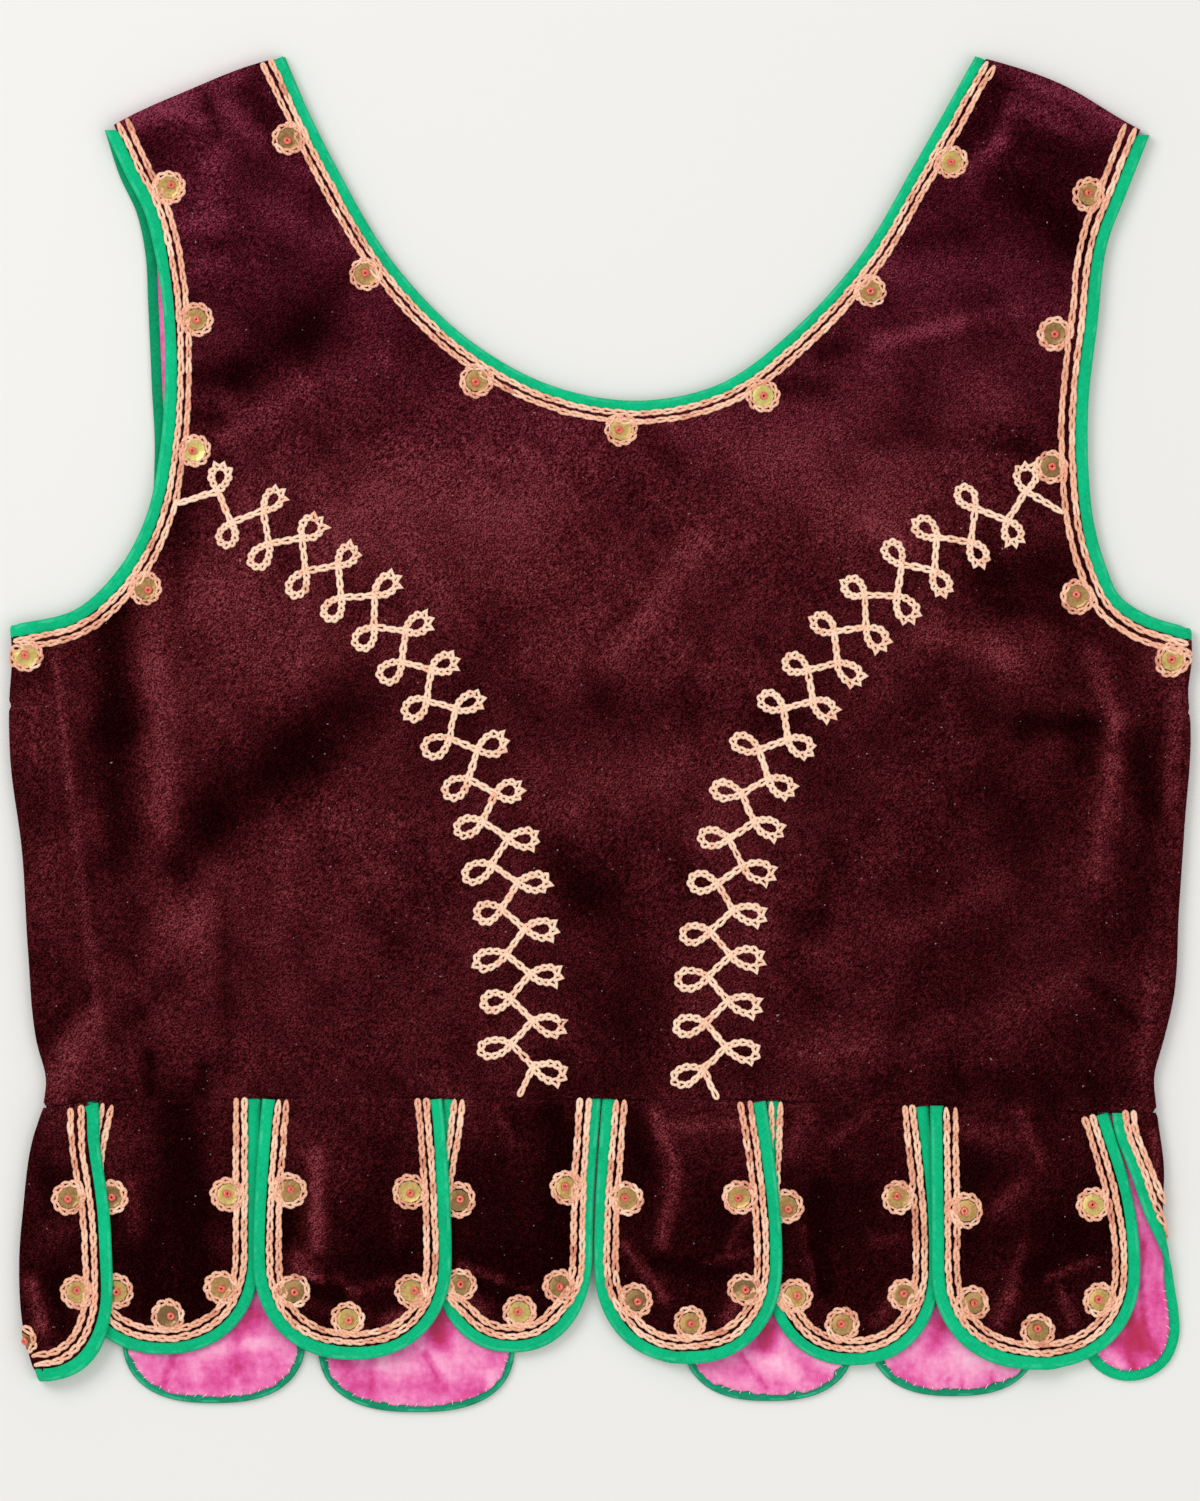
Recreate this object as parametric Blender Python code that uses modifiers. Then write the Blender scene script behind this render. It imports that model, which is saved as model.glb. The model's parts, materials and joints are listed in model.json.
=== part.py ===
"""Embroidered folk vest of velvet with bound edges and a row of round tabs.

It lies flat with its back upward. +X is the wearer's right as it lies, +Y runs from the
tabs up to the shoulders and +Z is up. The origin is under the middle of its outline, on
the surface that it lies on. Lengths below are in millimetres.

Each piece is cut flat from an outline, and then laid: a panel lies at a height that varies
with its soft folds, and a side piece is wound round the fold at its side.
"""
import math
from collections import namedtuple

import bmesh
import bpy
import numpy as np
from mathutils import Vector

MM = 0.001

# Cloth and sewing
WALL = 2.0                  # velvet with its hidden lining
THIN_WALL = 1.0             # velvet or satin, where both sides of a piece show
SEAM = 0.3                  # from one piece to the next
BINDING = 5.2               # width of the bias binding
INNER_BINDING = 4.2         # its width on the tabs that lie lining upward
BINDING_HALF = 0.85         # half its thickness, just clear of the surface below
BINDING_FLAT = 0.3          # of its width on each side of its middle, before it thins out

# Levels of the middle of a wall above the surface
LOWER_LEVEL = 1.0
LINING_STEP = 0.8           # from a piece's middle to the middle of its lining
UPPER_LEVEL = 3.6
FOLD_RADIUS = 1.8           # of the middle of the wall at the side folds
FOLD_ARC = FOLD_RADIUS * math.pi / 2
FOLD_PUFF_START = 4.0
FOLD_PUFF_RUN = 25.0        # over which the cloth comes down from a side fold
UNDER_ARM = 60.0            # height at which the side folds begin
UNDER_ARM_RUN = 20.0
TAB_LIFT = 2.7              # of a tab's edge that lies on its neighbour
TAB_LIFT_FALL = 15.0
TAB_CROWN = 0.9
TAB_CROWN_START = 12.0
TAB_CROWN_RUN = 16.0

# Steps of the outlines and of the grid that the cloth is divided by
EDGE_STEP = 9.0
FRONT_EDGE_STEP = 14.0
TAB_EDGE_STEP = 8.0
TAB_SIDE_STEP = 16.0
SEAM_STEP = 10.0
FOLD_LINE_STEP = 4.0
SIDE_WAIST_STOPS = 4
PANEL_CELL = 19.0
FRONT_CELL = 60.0
TAB_CELL = 17.0
INNER_TAB_CELL = 40.0
FOLD_CUTS = tuple(FOLD_ARC * part for part in (-1, -2 / 3, -1 / 3, 0, 1 / 3, 2 / 3, 1))
FOLD_CUTS_CLEAR = 3.0       # from a fold to the next cut of the grid
CUT_REACH = 1.0             # least distance of a fold's cut from the end of a piece
CUT_SNAP = 0.2              # a point this near a cut is on it

Spot = namedtuple("Spot", "x y")
ArmholeSpot = namedtuple("ArmholeSpot", "x y peek")
Fold = namedtuple("Fold", "x0 y0 x1 y1 spread rise")
Swell = namedtuple("Swell", "x y across along rise")
Tab = namedtuple("Tab", "name top_left top_right wide_left wide_right bottom over_left over_right")

# Finished edges, each run so that the cloth is on its left. A front armhole lies
# `peek` further out than the back's.
NECK_EDGE = [Spot(*row) for row in (
    (140.4, 254.1), (117.6, 213.6), (97.3, 179.4), (74.4, 153.6), (42.9, 130.6), (14.1, 125.1),
    (-17.1, 130.3), (-45.9, 145.4), (-74.4, 172.7), (-100.3, 215.1), (-119.1, 254.1))]
LEFT_SHOULDER = [Spot(*row) for row in (
    (-119.1, 254.1), (-133.3, 249.9), (-153.6, 241.7), (-177.9, 230.8), (-185.8, 226.4))]
RIGHT_SHOULDER = [Spot(*row) for row in (
    (205.7, 224.6), (197.8, 228.9), (171.9, 243.9), (150.6, 251.4), (140.4, 254.1))]
LEFT_ARMHOLE = [ArmholeSpot(*row) for row in (
    (-185.8, 226.4, 0.0), (-177.9, 209.4, 2.4), (-170.8, 195.2, 3.0), (-167.1, 180.6, 3.6),
    (-164.1, 160.7, 5.5), (-163.3, 131.8, 5.0), (-165.6, 103.3, 1.6), (-170.1, 82.3, -1.0),
    (-180.6, 62.1, -1.5), (-196.3, 47.1, -1.0), (-220.3, 41.0, 0.0))]
RIGHT_ARMHOLE = [ArmholeSpot(*row) for row in (
    (220.3, 39.9, 0.0), (203.4, 45.6, -1.0), (194.8, 51.6, -1.5), (189.2, 63.6, -1.5),
    (185.1, 78.2, -1.5), (182.8, 100.0, -1.5), (182.8, 123.2, -1.5), (186.2, 153.6, -1.5),
    (190.7, 186.6, -1.5), (196.3, 200.8, -1.5), (205.7, 224.6, 0.0))]
LEFT_FRONT_EDGE = [Spot(*row) for row in (
    (-32.5, -135.9), (-35.0, -60.0), (-44.0, 20.0), (-60.0, 90.0), (-82.0, 165.0),
    (-101.5, 214.0), (-118.3, 254.1))]
RIGHT_FRONT_EDGE = [Spot(*row) for row in (
    (141.4, 254.1), (121.5, 214.0), (101.0, 165.0), (73.0, 90.0), (51.0, 20.0), (38.0, -60.0),
    (33.0, -136.3))]

# Seams, from the top down
LEFT_BACK_SEAM = [Spot(*row) for row in (
    (-207.0, 60.0), (-206.8, 42.2), (-204.9, 17.8), (-198.6, -22.3), (-191.4, -79.7),
    (-188.1, -109.7), (-187.3, -150.0))]
RIGHT_BACK_SEAM = [Spot(*row) for row in (
    (214.5, 60.0), (214.5, 40.7), (213.0, 8.4), (210.6, -20.8), (208.4, -65.4),
    (205.9, -99.6), (202.7, -122.1), (201.9, -155.0))]
LEFT_FRONT_SEAM = [Spot(*row) for row in ((-184.0, 75.0), (-178.0, -30.0), (-170.0, -150.0))]
RIGHT_FRONT_SEAM = [Spot(*row) for row in ((187.0, 80.0), (182.0, -30.0), (174.0, -155.0))]
WAIST = [Spot(*row) for row in (
    (-208.3, -140.4), (-187.3, -136.4), (-124.7, -136.3), (0.0, -136.3), (86.1, -137.4),
    (157.7, -140.4), (207.6, -141.9))]
BACK_WAIST = (-187.0, 202.0)
LEFT_FRONT_WAIST = (-172.0, -32.5)
RIGHT_FRONT_WAIST = (33.0, 176.0)
LEFT_GUSSET_SEAM = 10.7
RIGHT_GUSSET_SEAM = 7.9
SEAM_REACH = 10.0           # of a seam's line past the seams that it meets
WAIST_REACH = 4.0           # of a side's waist past its seams
ARM_CORNER = 75.0           # below it an armhole runs round the side

# The folds at the sides, from the armhole down round the tab below
LEFT_SIDE = [Spot(*row) for row in (
    (-220.3, 41.0), (-219.6, 30.6), (-220.7, 10.7), (-220.3, -8.1), (-215.8, -44.1),
    (-213.6, -80.8), (-210.4, -115.0), (-206.8, -130.0), (-208.3, -140.4), (-211.9, -152.0),
    (-215.4, -177.6), (-216.9, -198.0), (-214.8, -226.0), (-210.0, -243.0))]
RIGHT_SIDE = [Spot(*row) for row in (
    (220.3, 39.9), (220.7, 29.1), (219.2, 14.8), (219.9, 7.7), (217.7, -36.9), (215.8, -65.4),
    (213.6, -99.6), (209.4, -116.8), (206.6, -127.0), (207.6, -141.9), (210.2, -162.9),
    (209.8, -179.1), (213.9, -204.6), (216.9, -221.0), (216.9, -243.0))]

# Soft relief of the upper layer
FOLDS = [Fold(*row) for row in (
    (183.0, 52.0, 194.0, 14.0, 8.0, 1.5), (194.0, 14.0, 186.0, -58.0, 8.0, 1.5),
    (-178.0, 34.0, -168.0, -96.0, 9.0, 1.2), (-150.0, 58.0, -138.0, -20.0, 13.0, 0.9),
    (148.0, 236.0, 163.0, 205.0, 8.0, 1.1), (168.0, 226.0, 172.0, 196.0, 6.0, 0.9),
    (-160.0, 214.0, -140.0, 178.0, 10.0, 0.8), (-128.0, 120.0, -84.0, 60.0, 16.0, 0.8),
    (150.0, 96.0, 112.0, 34.0, 15.0, 0.9), (-60.0, -118.0, -38.0, -60.0, 12.0, 0.6),
    (96.0, -122.0, 118.0, -66.0, 13.0, 0.7))]
SWELLS = [Swell(*row) for row in (
    (-70.0, 30.0, 60.0, 80.0, 0.7), (60.0, 0.0, 70.0, 60.0, 0.8),
    (0.0, -150.0, 300.0, 26.0, 1.1), (0.0, 60.0, 40.0, 40.0, 0.4))]
SHOULDER_REST = 16.0        # over which the relief dies out below a shoulder

# The tabs of the back lie over or under their neighbours. The front's lie lining upward.
BACK_TABS = [Tab(*row) for row in (
    ("back_tab_1", -192.4, -127.1, -199.7, -127.3, -232.3, 0, 0),
    ("back_tab_2", -126.7, -59.3, -130.1, -55.7, -234.2, 8, 10),
    ("back_tab_3", -58.9, 0.3, -63.2, -3.0, -231.6, 0, 0),
    ("back_tab_4", 0.7, 61.9, -2.4, 68.1, -235.7, 0, 9),
    ("back_tab_5", 62.3, 123.0, 61.3, 127.6, -236.4, 0, 0),
    ("back_tab_6", 123.4, 190.2, 124.0, 202.3, -237.9, 7, 0))]
FRONT_TABS = [Tab(*row) for row in (
    ("front_tab_1", -179.0, -112.0, -179.4, -110.4, -250.7, 0, 0),
    ("front_tab_2", -107.0, -33.0, -105.9, -32.1, -254.1, 0, 0),
    ("front_tab_3", 33.5, 97.0, 30.6, 95.8, -249.9, 0, 0),
    ("front_tab_4", 100.3, 166.0, 100.3, 164.8, -248.1, 0, 0))]
TAB_ROUND = 38.0            # height of a tab's rounded end
TAB_POWER = 2.2             # of the superellipse that rounds it
FRONT_TAB_ROUND = 26.0
FRONT_TAB_POWER = 2.5
LEFT_SIDE_TAB = Tab("side_tab_left", -20.6, 20.6, -35.3, 35.3, -242.4, 0, 19)
# Distances from the fold along the cloth, above it if positive, and heights
RIGHT_SIDE_TAB_EDGE = [Spot(*row) for row in (
    (17.0, -141.8), (16.9, -148.3), (14.2, -160.3), (10.4, -170.8), (6.8, -180.6),
    (3.4, -191.0), (0.4, -204.6), (-0.6, -216.9), (-1.4, -226.0), (-5.2, -235.6),
    (-12.2, -240.9), (-19.7, -242.4), (-27.2, -240.9), (-34.0, -236.0), (-38.4, -226.0),
    (-39.6, -210.0), (-36.0, -175.0), (-30.6, -141.4))]
LEFT_TOP = (24.0, 16.0, 8.0, 0.0, -8.0, -16.0, -24.0)
RIGHT_TOP = (20.0, -34.0)

VELVET_RED = (0.085, 0.018, 0.034)
BINDING_GREEN = (0.005, 0.47, 0.20)
INNER_BINDING_GREEN = (0.012, 0.34, 0.16)
SATIN_PINK = (0.74, 0.12, 0.46)

for old in list(bpy.data.objects):
    bpy.data.objects.remove(old)
vest = bpy.data.collections.new("embroidered_folk_vest")
bpy.context.scene.collection.children.link(vest)


def finish(name, colour, roughness):
    """A plain material."""
    material = bpy.data.materials.new(name)
    material.use_nodes = True
    shader = material.node_tree.nodes["Principled BSDF"]
    shader.inputs["Base Color"].default_value = (*colour, 1.0)
    shader.inputs["Roughness"].default_value = roughness
    shader.inputs["Metallic"].default_value = 0.0
    return material


velvet = finish("velvet", VELVET_RED, 0.95)
binding_cotton = finish("binding", BINDING_GREEN, 0.8)
inner_binding_cotton = finish("inner_binding", INNER_BINDING_GREEN, 0.8)
satin = finish("satin_lining", SATIN_PINK, 0.35)


# Edges: lists of points in the plane of the flat cloth

def smooth(rows, step=EDGE_STEP):
    """Points at even steps along a smooth curve through the rows."""
    knots = np.array([(row.x, row.y) for row in rows], float)
    along = np.concatenate([[0.0], np.cumsum(np.linalg.norm(np.diff(knots, axis=0), axis=1))])
    slopes = np.gradient(knots, along, axis=0)
    fine = np.linspace(0.0, along[-1], 24 * len(knots))
    span = np.clip(np.searchsorted(along, fine, side="right") - 1, 0, len(knots) - 2)
    width = (along[span + 1] - along[span])[:, None]
    t = (fine[:, None] - along[span][:, None]) / width
    curve = ((2 * t**3 - 3 * t**2 + 1) * knots[span] + (t**3 - 2 * t**2 + t) * width * slopes[span]
             + (3 * t**2 - 2 * t**3) * knots[span + 1] + (t**3 - t**2) * width * slopes[span + 1])
    return even(curve, step)


def even(curve, step):
    """The same curve with its points at even steps."""
    along = np.concatenate([[0.0], np.cumsum(np.linalg.norm(np.diff(curve, axis=0), axis=1))])
    stops = np.linspace(0.0, along[-1], max(2, round(along[-1] / step) + 1))
    return np.column_stack([np.interp(stops, along, curve[:, axis]) for axis in (0, 1)])


def inset(edge, distance):
    """The edge moved to its left, into the cloth."""
    run = np.gradient(edge, axis=0)
    run /= np.linalg.norm(run, axis=1)[:, None]
    return edge + distance * np.column_stack([-run[:, 1], run[:, 0]])


def extended(edge, reach=30.0):
    """The edge run on straight past both its ends."""
    start = edge[0] - edge[1]
    end = edge[-1] - edge[-2]
    return np.vstack([edge[0] + start / np.linalg.norm(start) * reach, edge,
                      edge[-1] + end / np.linalg.norm(end) * reach])


def corner(first, second):
    """Where one edge meets the next: (the place, its segment on each extended edge)."""
    first_long, second_long = extended(first), extended(second)
    near = (first[-1] + second[0]) / 2
    best = None
    for i, (a, b) in enumerate(zip(first_long, first_long[1:])):
        for j, (c, d) in enumerate(zip(second_long, second_long[1:])):
            ab, cd, ac = b - a, d - c, c - a
            cross = ab[0] * cd[1] - ab[1] * cd[0]
            if abs(cross) < 1e-9:
                continue
            t = (ac[0] * cd[1] - ac[1] * cd[0]) / cross
            u = (ac[0] * ab[1] - ac[1] * ab[0]) / cross
            if 0 <= t <= 1 and 0 <= u <= 1:
                place = a + t * ab
                away = np.linalg.norm(place - near)
                if best is None or away < best[0]:
                    best = (away, place, i, j)
    return best[1:]


def outline(*edges, clear=1.5):
    """A closed outline of edges, each cut where it meets the next."""
    corners = [corner(edge, edges[(n + 1) % len(edges)]) for n, edge in enumerate(edges)]
    points = []
    for n, edge in enumerate(edges):
        start, _, first = corners[n - 1]
        end, last, _ = corners[n]
        middle = extended(edge)[first + 1:last + 1]
        points.append(start)
        points.extend(p for p in middle
                      if min(np.linalg.norm(p - start), np.linalg.norm(p - end)) > clear)
    return points


def reverse(edge):
    return edge[::-1]


# Places: how flat cloth is laid

def ease(t):
    """0 below 0, 1 above 1, and smooth between."""
    t = min(max(t, 0.0), 1.0)
    return t * t * (3 - 2 * t)


def across_at(line, y):
    """x of a line that runs down, at a height."""
    return float(np.interp(-y, -line[:, 1], line[:, 0]))


def waist_at(x):
    return float(np.interp(x, [row.x for row in WAIST], [row.y for row in WAIST]))


def shoulder_at(x):
    rows = sorted(LEFT_SHOULDER + RIGHT_SHOULDER, key=lambda row: row.x)
    return float(np.interp(x, [row.x for row in rows], [row.y for row in rows]))


left_side, right_side = smooth(LEFT_SIDE, FOLD_LINE_STEP), smooth(RIGHT_SIDE, FOLD_LINE_STEP)


def relief(x, y):
    """Height of the upper layer's soft folds above the level where it would lie flat."""
    height = 0.0
    for fold in FOLDS:
        run = Vector((fold.x1 - fold.x0, fold.y1 - fold.y0))
        to_point = Vector((x - fold.x0, y - fold.y0))
        t = to_point.dot(run) / run.length_squared
        beside = (to_point - run * min(max(t, 0.0), 1.0)).length / fold.spread
        height += fold.rise * math.exp(-beside * beside)
    for swell in SWELLS:
        off = ((x - swell.x) / swell.across) ** 2 + ((y - swell.y) / swell.along) ** 2
        height += swell.rise * math.exp(-off)
    return height * ease((shoulder_at(x) - y) / SHOULDER_REST)


def upper_height(x, y):
    """Height of the middle of the upper layer."""
    from_fold = min(x - across_at(left_side, y), across_at(right_side, y) - x)
    below_arm = ease((UNDER_ARM - y) / UNDER_ARM_RUN)
    puff = below_arm * (1 - ease((from_fold - FOLD_PUFF_START) / FOLD_PUFF_RUN))
    at_fold = LOWER_LEVEL + 2 * FOLD_RADIUS
    return at_fold * puff + (UPPER_LEVEL + relief(x, y)) * (1 - puff)


class Laid:
    """Cloth laid flat, its height given by a function."""

    def __init__(self, height):
        self.height = height

    def point(self, x, y):
        return Vector((x, y, self.height(x, y)))

    def normal(self, x, y, step=0.25):
        across = self.point(x + step, y) - self.point(x - step, y)
        along = self.point(x, y + step) - self.point(x, y - step)
        return across.cross(along).normalized()


class Wound(Laid):
    """Cloth wound round a side fold. Its first measure is the distance from the fold along
    the cloth, positive on the upper layer."""

    def __init__(self, line, inward, height=upper_height):
        super().__init__(height)
        self.line, self.inward = line, inward

    def point(self, run, y):
        fold = across_at(self.line, y)
        past = abs(run) - FOLD_ARC
        if past < 0:
            turn = run / FOLD_RADIUS
            x = fold + self.inward * FOLD_RADIUS * (1 - math.cos(turn))
            return Vector((x, y, LOWER_LEVEL + FOLD_RADIUS * (1 + math.sin(turn))))
        x = fold + self.inward * (past + FOLD_RADIUS)
        return Vector((x, y, self.height(x, y) if run > 0 else LOWER_LEVEL))

    def normal(self, run, y, step=0.25):
        return super().normal(run, y, step) * self.inward

    def flat(self, edge, layer):
        """A laid edge as it lies in the flat cloth, for layer 1, upper, or -1, lower."""
        return np.array([(layer * ((x - across_at(self.line, y)) * self.inward
                                   + FOLD_ARC - FOLD_RADIUS), y) for x, y in edge])


# Pieces

def add_object(name, mesh, material):
    piece = bpy.data.objects.new(name, mesh)
    vest.objects.link(piece)
    mesh.materials.append(material)
    mesh.transform([[MM, 0, 0, 0], [0, MM, 0, 0], [0, 0, MM, 0], [0, 0, 0, 1]])
    return piece


def cut_cloth(name, edge, place, wall, material, cell, step_out=0.0, folded=False):
    """A piece of cloth: its flat outline divided by a grid, laid, and given its wall."""
    cloth = bmesh.new()
    cloth.faces.new([cloth.verts.new((x, y, 0.0)) for x, y in edge])
    low, high = np.min(edge, axis=0), np.max(edge, axis=0)
    for axis in (0, 1):
        count = max(1, round((high[axis] - low[axis]) / cell))
        cuts = list(np.linspace(low[axis], high[axis], count + 1)[1:-1])
        if folded and axis == 0:
            cuts = [cut for cut in cuts if abs(cut) > FOLD_ARC + FOLD_CUTS_CLEAR]
            cuts += [cut for cut in FOLD_CUTS
                     if low[0] + CUT_REACH < cut < high[0] - CUT_REACH]
        for cut in cuts:
            where, facing = [0.0, 0.0, 0.0], [0.0, 0.0, 0.0]
            where[axis], facing[axis] = cut, 1.0
            bmesh.ops.bisect_plane(cloth, geom=cloth.verts[:] + cloth.edges[:] + cloth.faces[:],
                                   dist=CUT_SNAP, plane_co=where, plane_no=facing)
    bmesh.ops.triangulate(cloth, faces=cloth.faces[:])
    for vert in cloth.verts:
        x, y = vert.co.x, vert.co.y
        vert.co = place.point(x, y) + place.normal(x, y) * step_out
    mesh = bpy.data.meshes.new(name)
    cloth.to_mesh(mesh)
    cloth.free()
    piece = add_object(name, mesh, material)
    solid = piece.modifiers.new("wall", "SOLIDIFY")
    solid.thickness = wall * MM
    solid.offset = 0.0
    solid.use_even_offset = False
    return piece


def bind_edge(name, edge, place, width, material=binding_cotton):
    """Binding along a finished edge: a flat band lofted along it, turning with the cloth.
    Its ends are cut level with the edge's own ends."""
    section = ((0.5, 0.0), (BINDING_FLAT, BINDING_HALF), (-BINDING_FLAT, BINDING_HALF),
               (-0.5, 0.0), (-BINDING_FLAT, -BINDING_HALF), (BINDING_FLAT, -BINDING_HALF))
    highest = max(y for x, y in edge)
    run = np.gradient(edge, axis=0)
    run /= np.linalg.norm(run, axis=1)[:, None]
    band = bmesh.new()
    rings = []
    for (x, y), (along_x, along_y) in zip(edge, run):
        ring = []
        for across, up in section:
            inward = width * (0.5 + across)
            u, v = x - along_y * inward, min(y + along_x * inward, highest)
            ring.append(band.verts.new(place.point(u, v) + place.normal(u, v) * up))
        rings.append(ring)
    for ring, following in zip(rings, rings[1:]):
        for n in range(len(section)):
            m = (n + 1) % len(section)
            band.faces.new((ring[n], ring[m], following[m], following[n]))
    band.faces.new(reverse(rings[0]))
    band.faces.new(rings[-1])
    bmesh.ops.recalc_face_normals(band, faces=band.faces[:])
    if band.calc_volume(signed=True) < 0:
        bmesh.ops.reverse_faces(band, faces=band.faces[:])
    mesh = bpy.data.meshes.new(name)
    band.to_mesh(mesh)
    band.free()
    return add_object(name, mesh, material)


def tab_edge(tab, top_left, top_right, rounded=TAB_ROUND, power=TAB_POWER):
    """The bound edge of a tab, down its left side, round its end and up its right side."""
    round_from = tab.bottom + rounded
    middle = (tab.wide_left + tab.wide_right) / 2
    half = (tab.wide_right - tab.wide_left) / 2
    down = np.linspace(0.0, 1.0, 1 + round((top_left - round_from) / TAB_SIDE_STEP))[:, None]
    left = np.array([[tab.top_left, top_left]]) * (1 - down) + [[0, round_from]] * down
    left[:, 0] = tab.top_left + (tab.wide_left - tab.top_left) * np.sin(down[:, 0] * math.pi / 2)
    right = np.array([[tab.top_right, top_right]]) * (1 - down) + [[0, round_from]] * down
    right[:, 0] = tab.top_right + (tab.wide_right - tab.top_right) * np.sin(down[:, 0] * math.pi / 2)
    turn = np.linspace(0.0, math.pi, 60)[1:-1]
    x = middle - half * np.sign(np.cos(turn)) * np.abs(np.cos(turn)) ** (2 / power)
    y = round_from - rounded * np.abs(np.sin(turn)) ** (2 / power)
    end = even(np.vstack([left[-1:], np.column_stack([x, y]), right[-1:]]), TAB_EDGE_STEP)
    return np.vstack([left[:-1], end, right[-2::-1]])


def side_at(edge, y, last):
    """x of a tab's left edge, or of its right edge if last, at a height."""
    lowest = int(np.argmin(edge[:, 1]))
    side = edge[lowest:] if last else edge[:lowest + 1][::-1]
    return float(np.interp(y, side[:, 1], side[:, 0]))


def tab_height(tab, edge):
    """Height of a back tab: lifted along an edge that lies on its neighbour, and crowned."""
    def height(x, y):
        from_left = x - side_at(edge, y, False)
        from_right = side_at(edge, y, True) - x
        inside = min(from_left, from_right, y - tab.bottom)
        raised = TAB_CROWN * ease((inside - TAB_CROWN_START) / TAB_CROWN_RUN)
        for distance, over in ((from_left, tab.over_left), (from_right, tab.over_right)):
            if over:
                raised = max(raised, TAB_LIFT * (1 - ease((distance - over) / TAB_LIFT_FALL)))
        return UPPER_LEVEL + raised
    return height


def waist_edge(left, right):
    """The waist seam between two places, running left to right."""
    stops = np.linspace(left, right, max(2, round(abs(right - left) / PANEL_CELL) + 1))
    return np.array([(x, waist_at(x)) for x in stops])


def front_armhole(rows, outward):
    """A front armhole edge, which lies further out than the back's by each row's peek."""
    return smooth([Spot(row.x + outward * row.peek, row.y) for row in rows])


left_wound = Wound(left_side, 1)
right_wound = Wound(right_side, -1)
upper = Laid(upper_height)
lower = Laid(lambda x, y: LOWER_LEVEL)
past_binding = BINDING + SEAM
half_seam = SEAM / 2

neck = smooth(NECK_EDGE)
left_armhole, right_armhole = smooth(LEFT_ARMHOLE), smooth(RIGHT_ARMHOLE)
left_front_armhole = front_armhole(LEFT_ARMHOLE, -1)
right_front_armhole = front_armhole(RIGHT_ARMHOLE, 1)
left_shoulder, right_shoulder = smooth(LEFT_SHOULDER), smooth(RIGHT_SHOULDER)
left_back_seam, right_back_seam = smooth(LEFT_BACK_SEAM, SEAM_STEP), smooth(RIGHT_BACK_SEAM, SEAM_STEP)
left_front_seam = smooth(LEFT_FRONT_SEAM, SEAM_STEP)
right_front_seam = smooth(RIGHT_FRONT_SEAM, SEAM_STEP)
left_front_edge = smooth(LEFT_FRONT_EDGE, FRONT_EDGE_STEP)
right_front_edge = smooth(RIGHT_FRONT_EDGE, FRONT_EDGE_STEP)


def back():
    """The back, one piece with both straps."""
    edge = outline(
        inset(waist_edge(*BACK_WAIST), half_seam),
        inset(reverse(right_back_seam), half_seam),
        inset(right_armhole, past_binding),
        inset(right_shoulder, half_seam),
        inset(neck, past_binding),
        inset(left_shoulder, half_seam),
        inset(left_armhole, past_binding),
        inset(left_back_seam, half_seam))
    cut_cloth("back_panel", edge, upper, WALL, velvet, PANEL_CELL)
    bind_edge("binding_neck", neck, upper, BINDING)


def fronts():
    """The fronts, which lie underneath. The left one's lining shows at the armhole."""
    left = outline(
        inset(waist_edge(*LEFT_FRONT_WAIST), half_seam),
        inset(left_front_edge, past_binding),
        inset(left_shoulder, half_seam),
        inset(left_front_armhole, past_binding),
        inset(left_front_seam, half_seam))
    cut_cloth("front_left", left, lower, THIN_WALL, velvet, FRONT_CELL,
              THIN_WALL / 2 - LOWER_LEVEL)
    cut_cloth("front_left_lining", left, lower, THIN_WALL, satin, FRONT_CELL, LINING_STEP)
    right = outline(
        inset(waist_edge(*RIGHT_FRONT_WAIST), half_seam),
        inset(reverse(right_front_seam), half_seam),
        inset(right_front_armhole, past_binding),
        inset(right_shoulder, half_seam),
        inset(right_front_edge, past_binding))
    cut_cloth("front_right", right, lower, WALL, velvet, FRONT_CELL)
    bind_edge("binding_front_left", left_front_edge, lower, BINDING)
    bind_edge("binding_front_right", right_front_edge, lower, BINDING)


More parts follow.
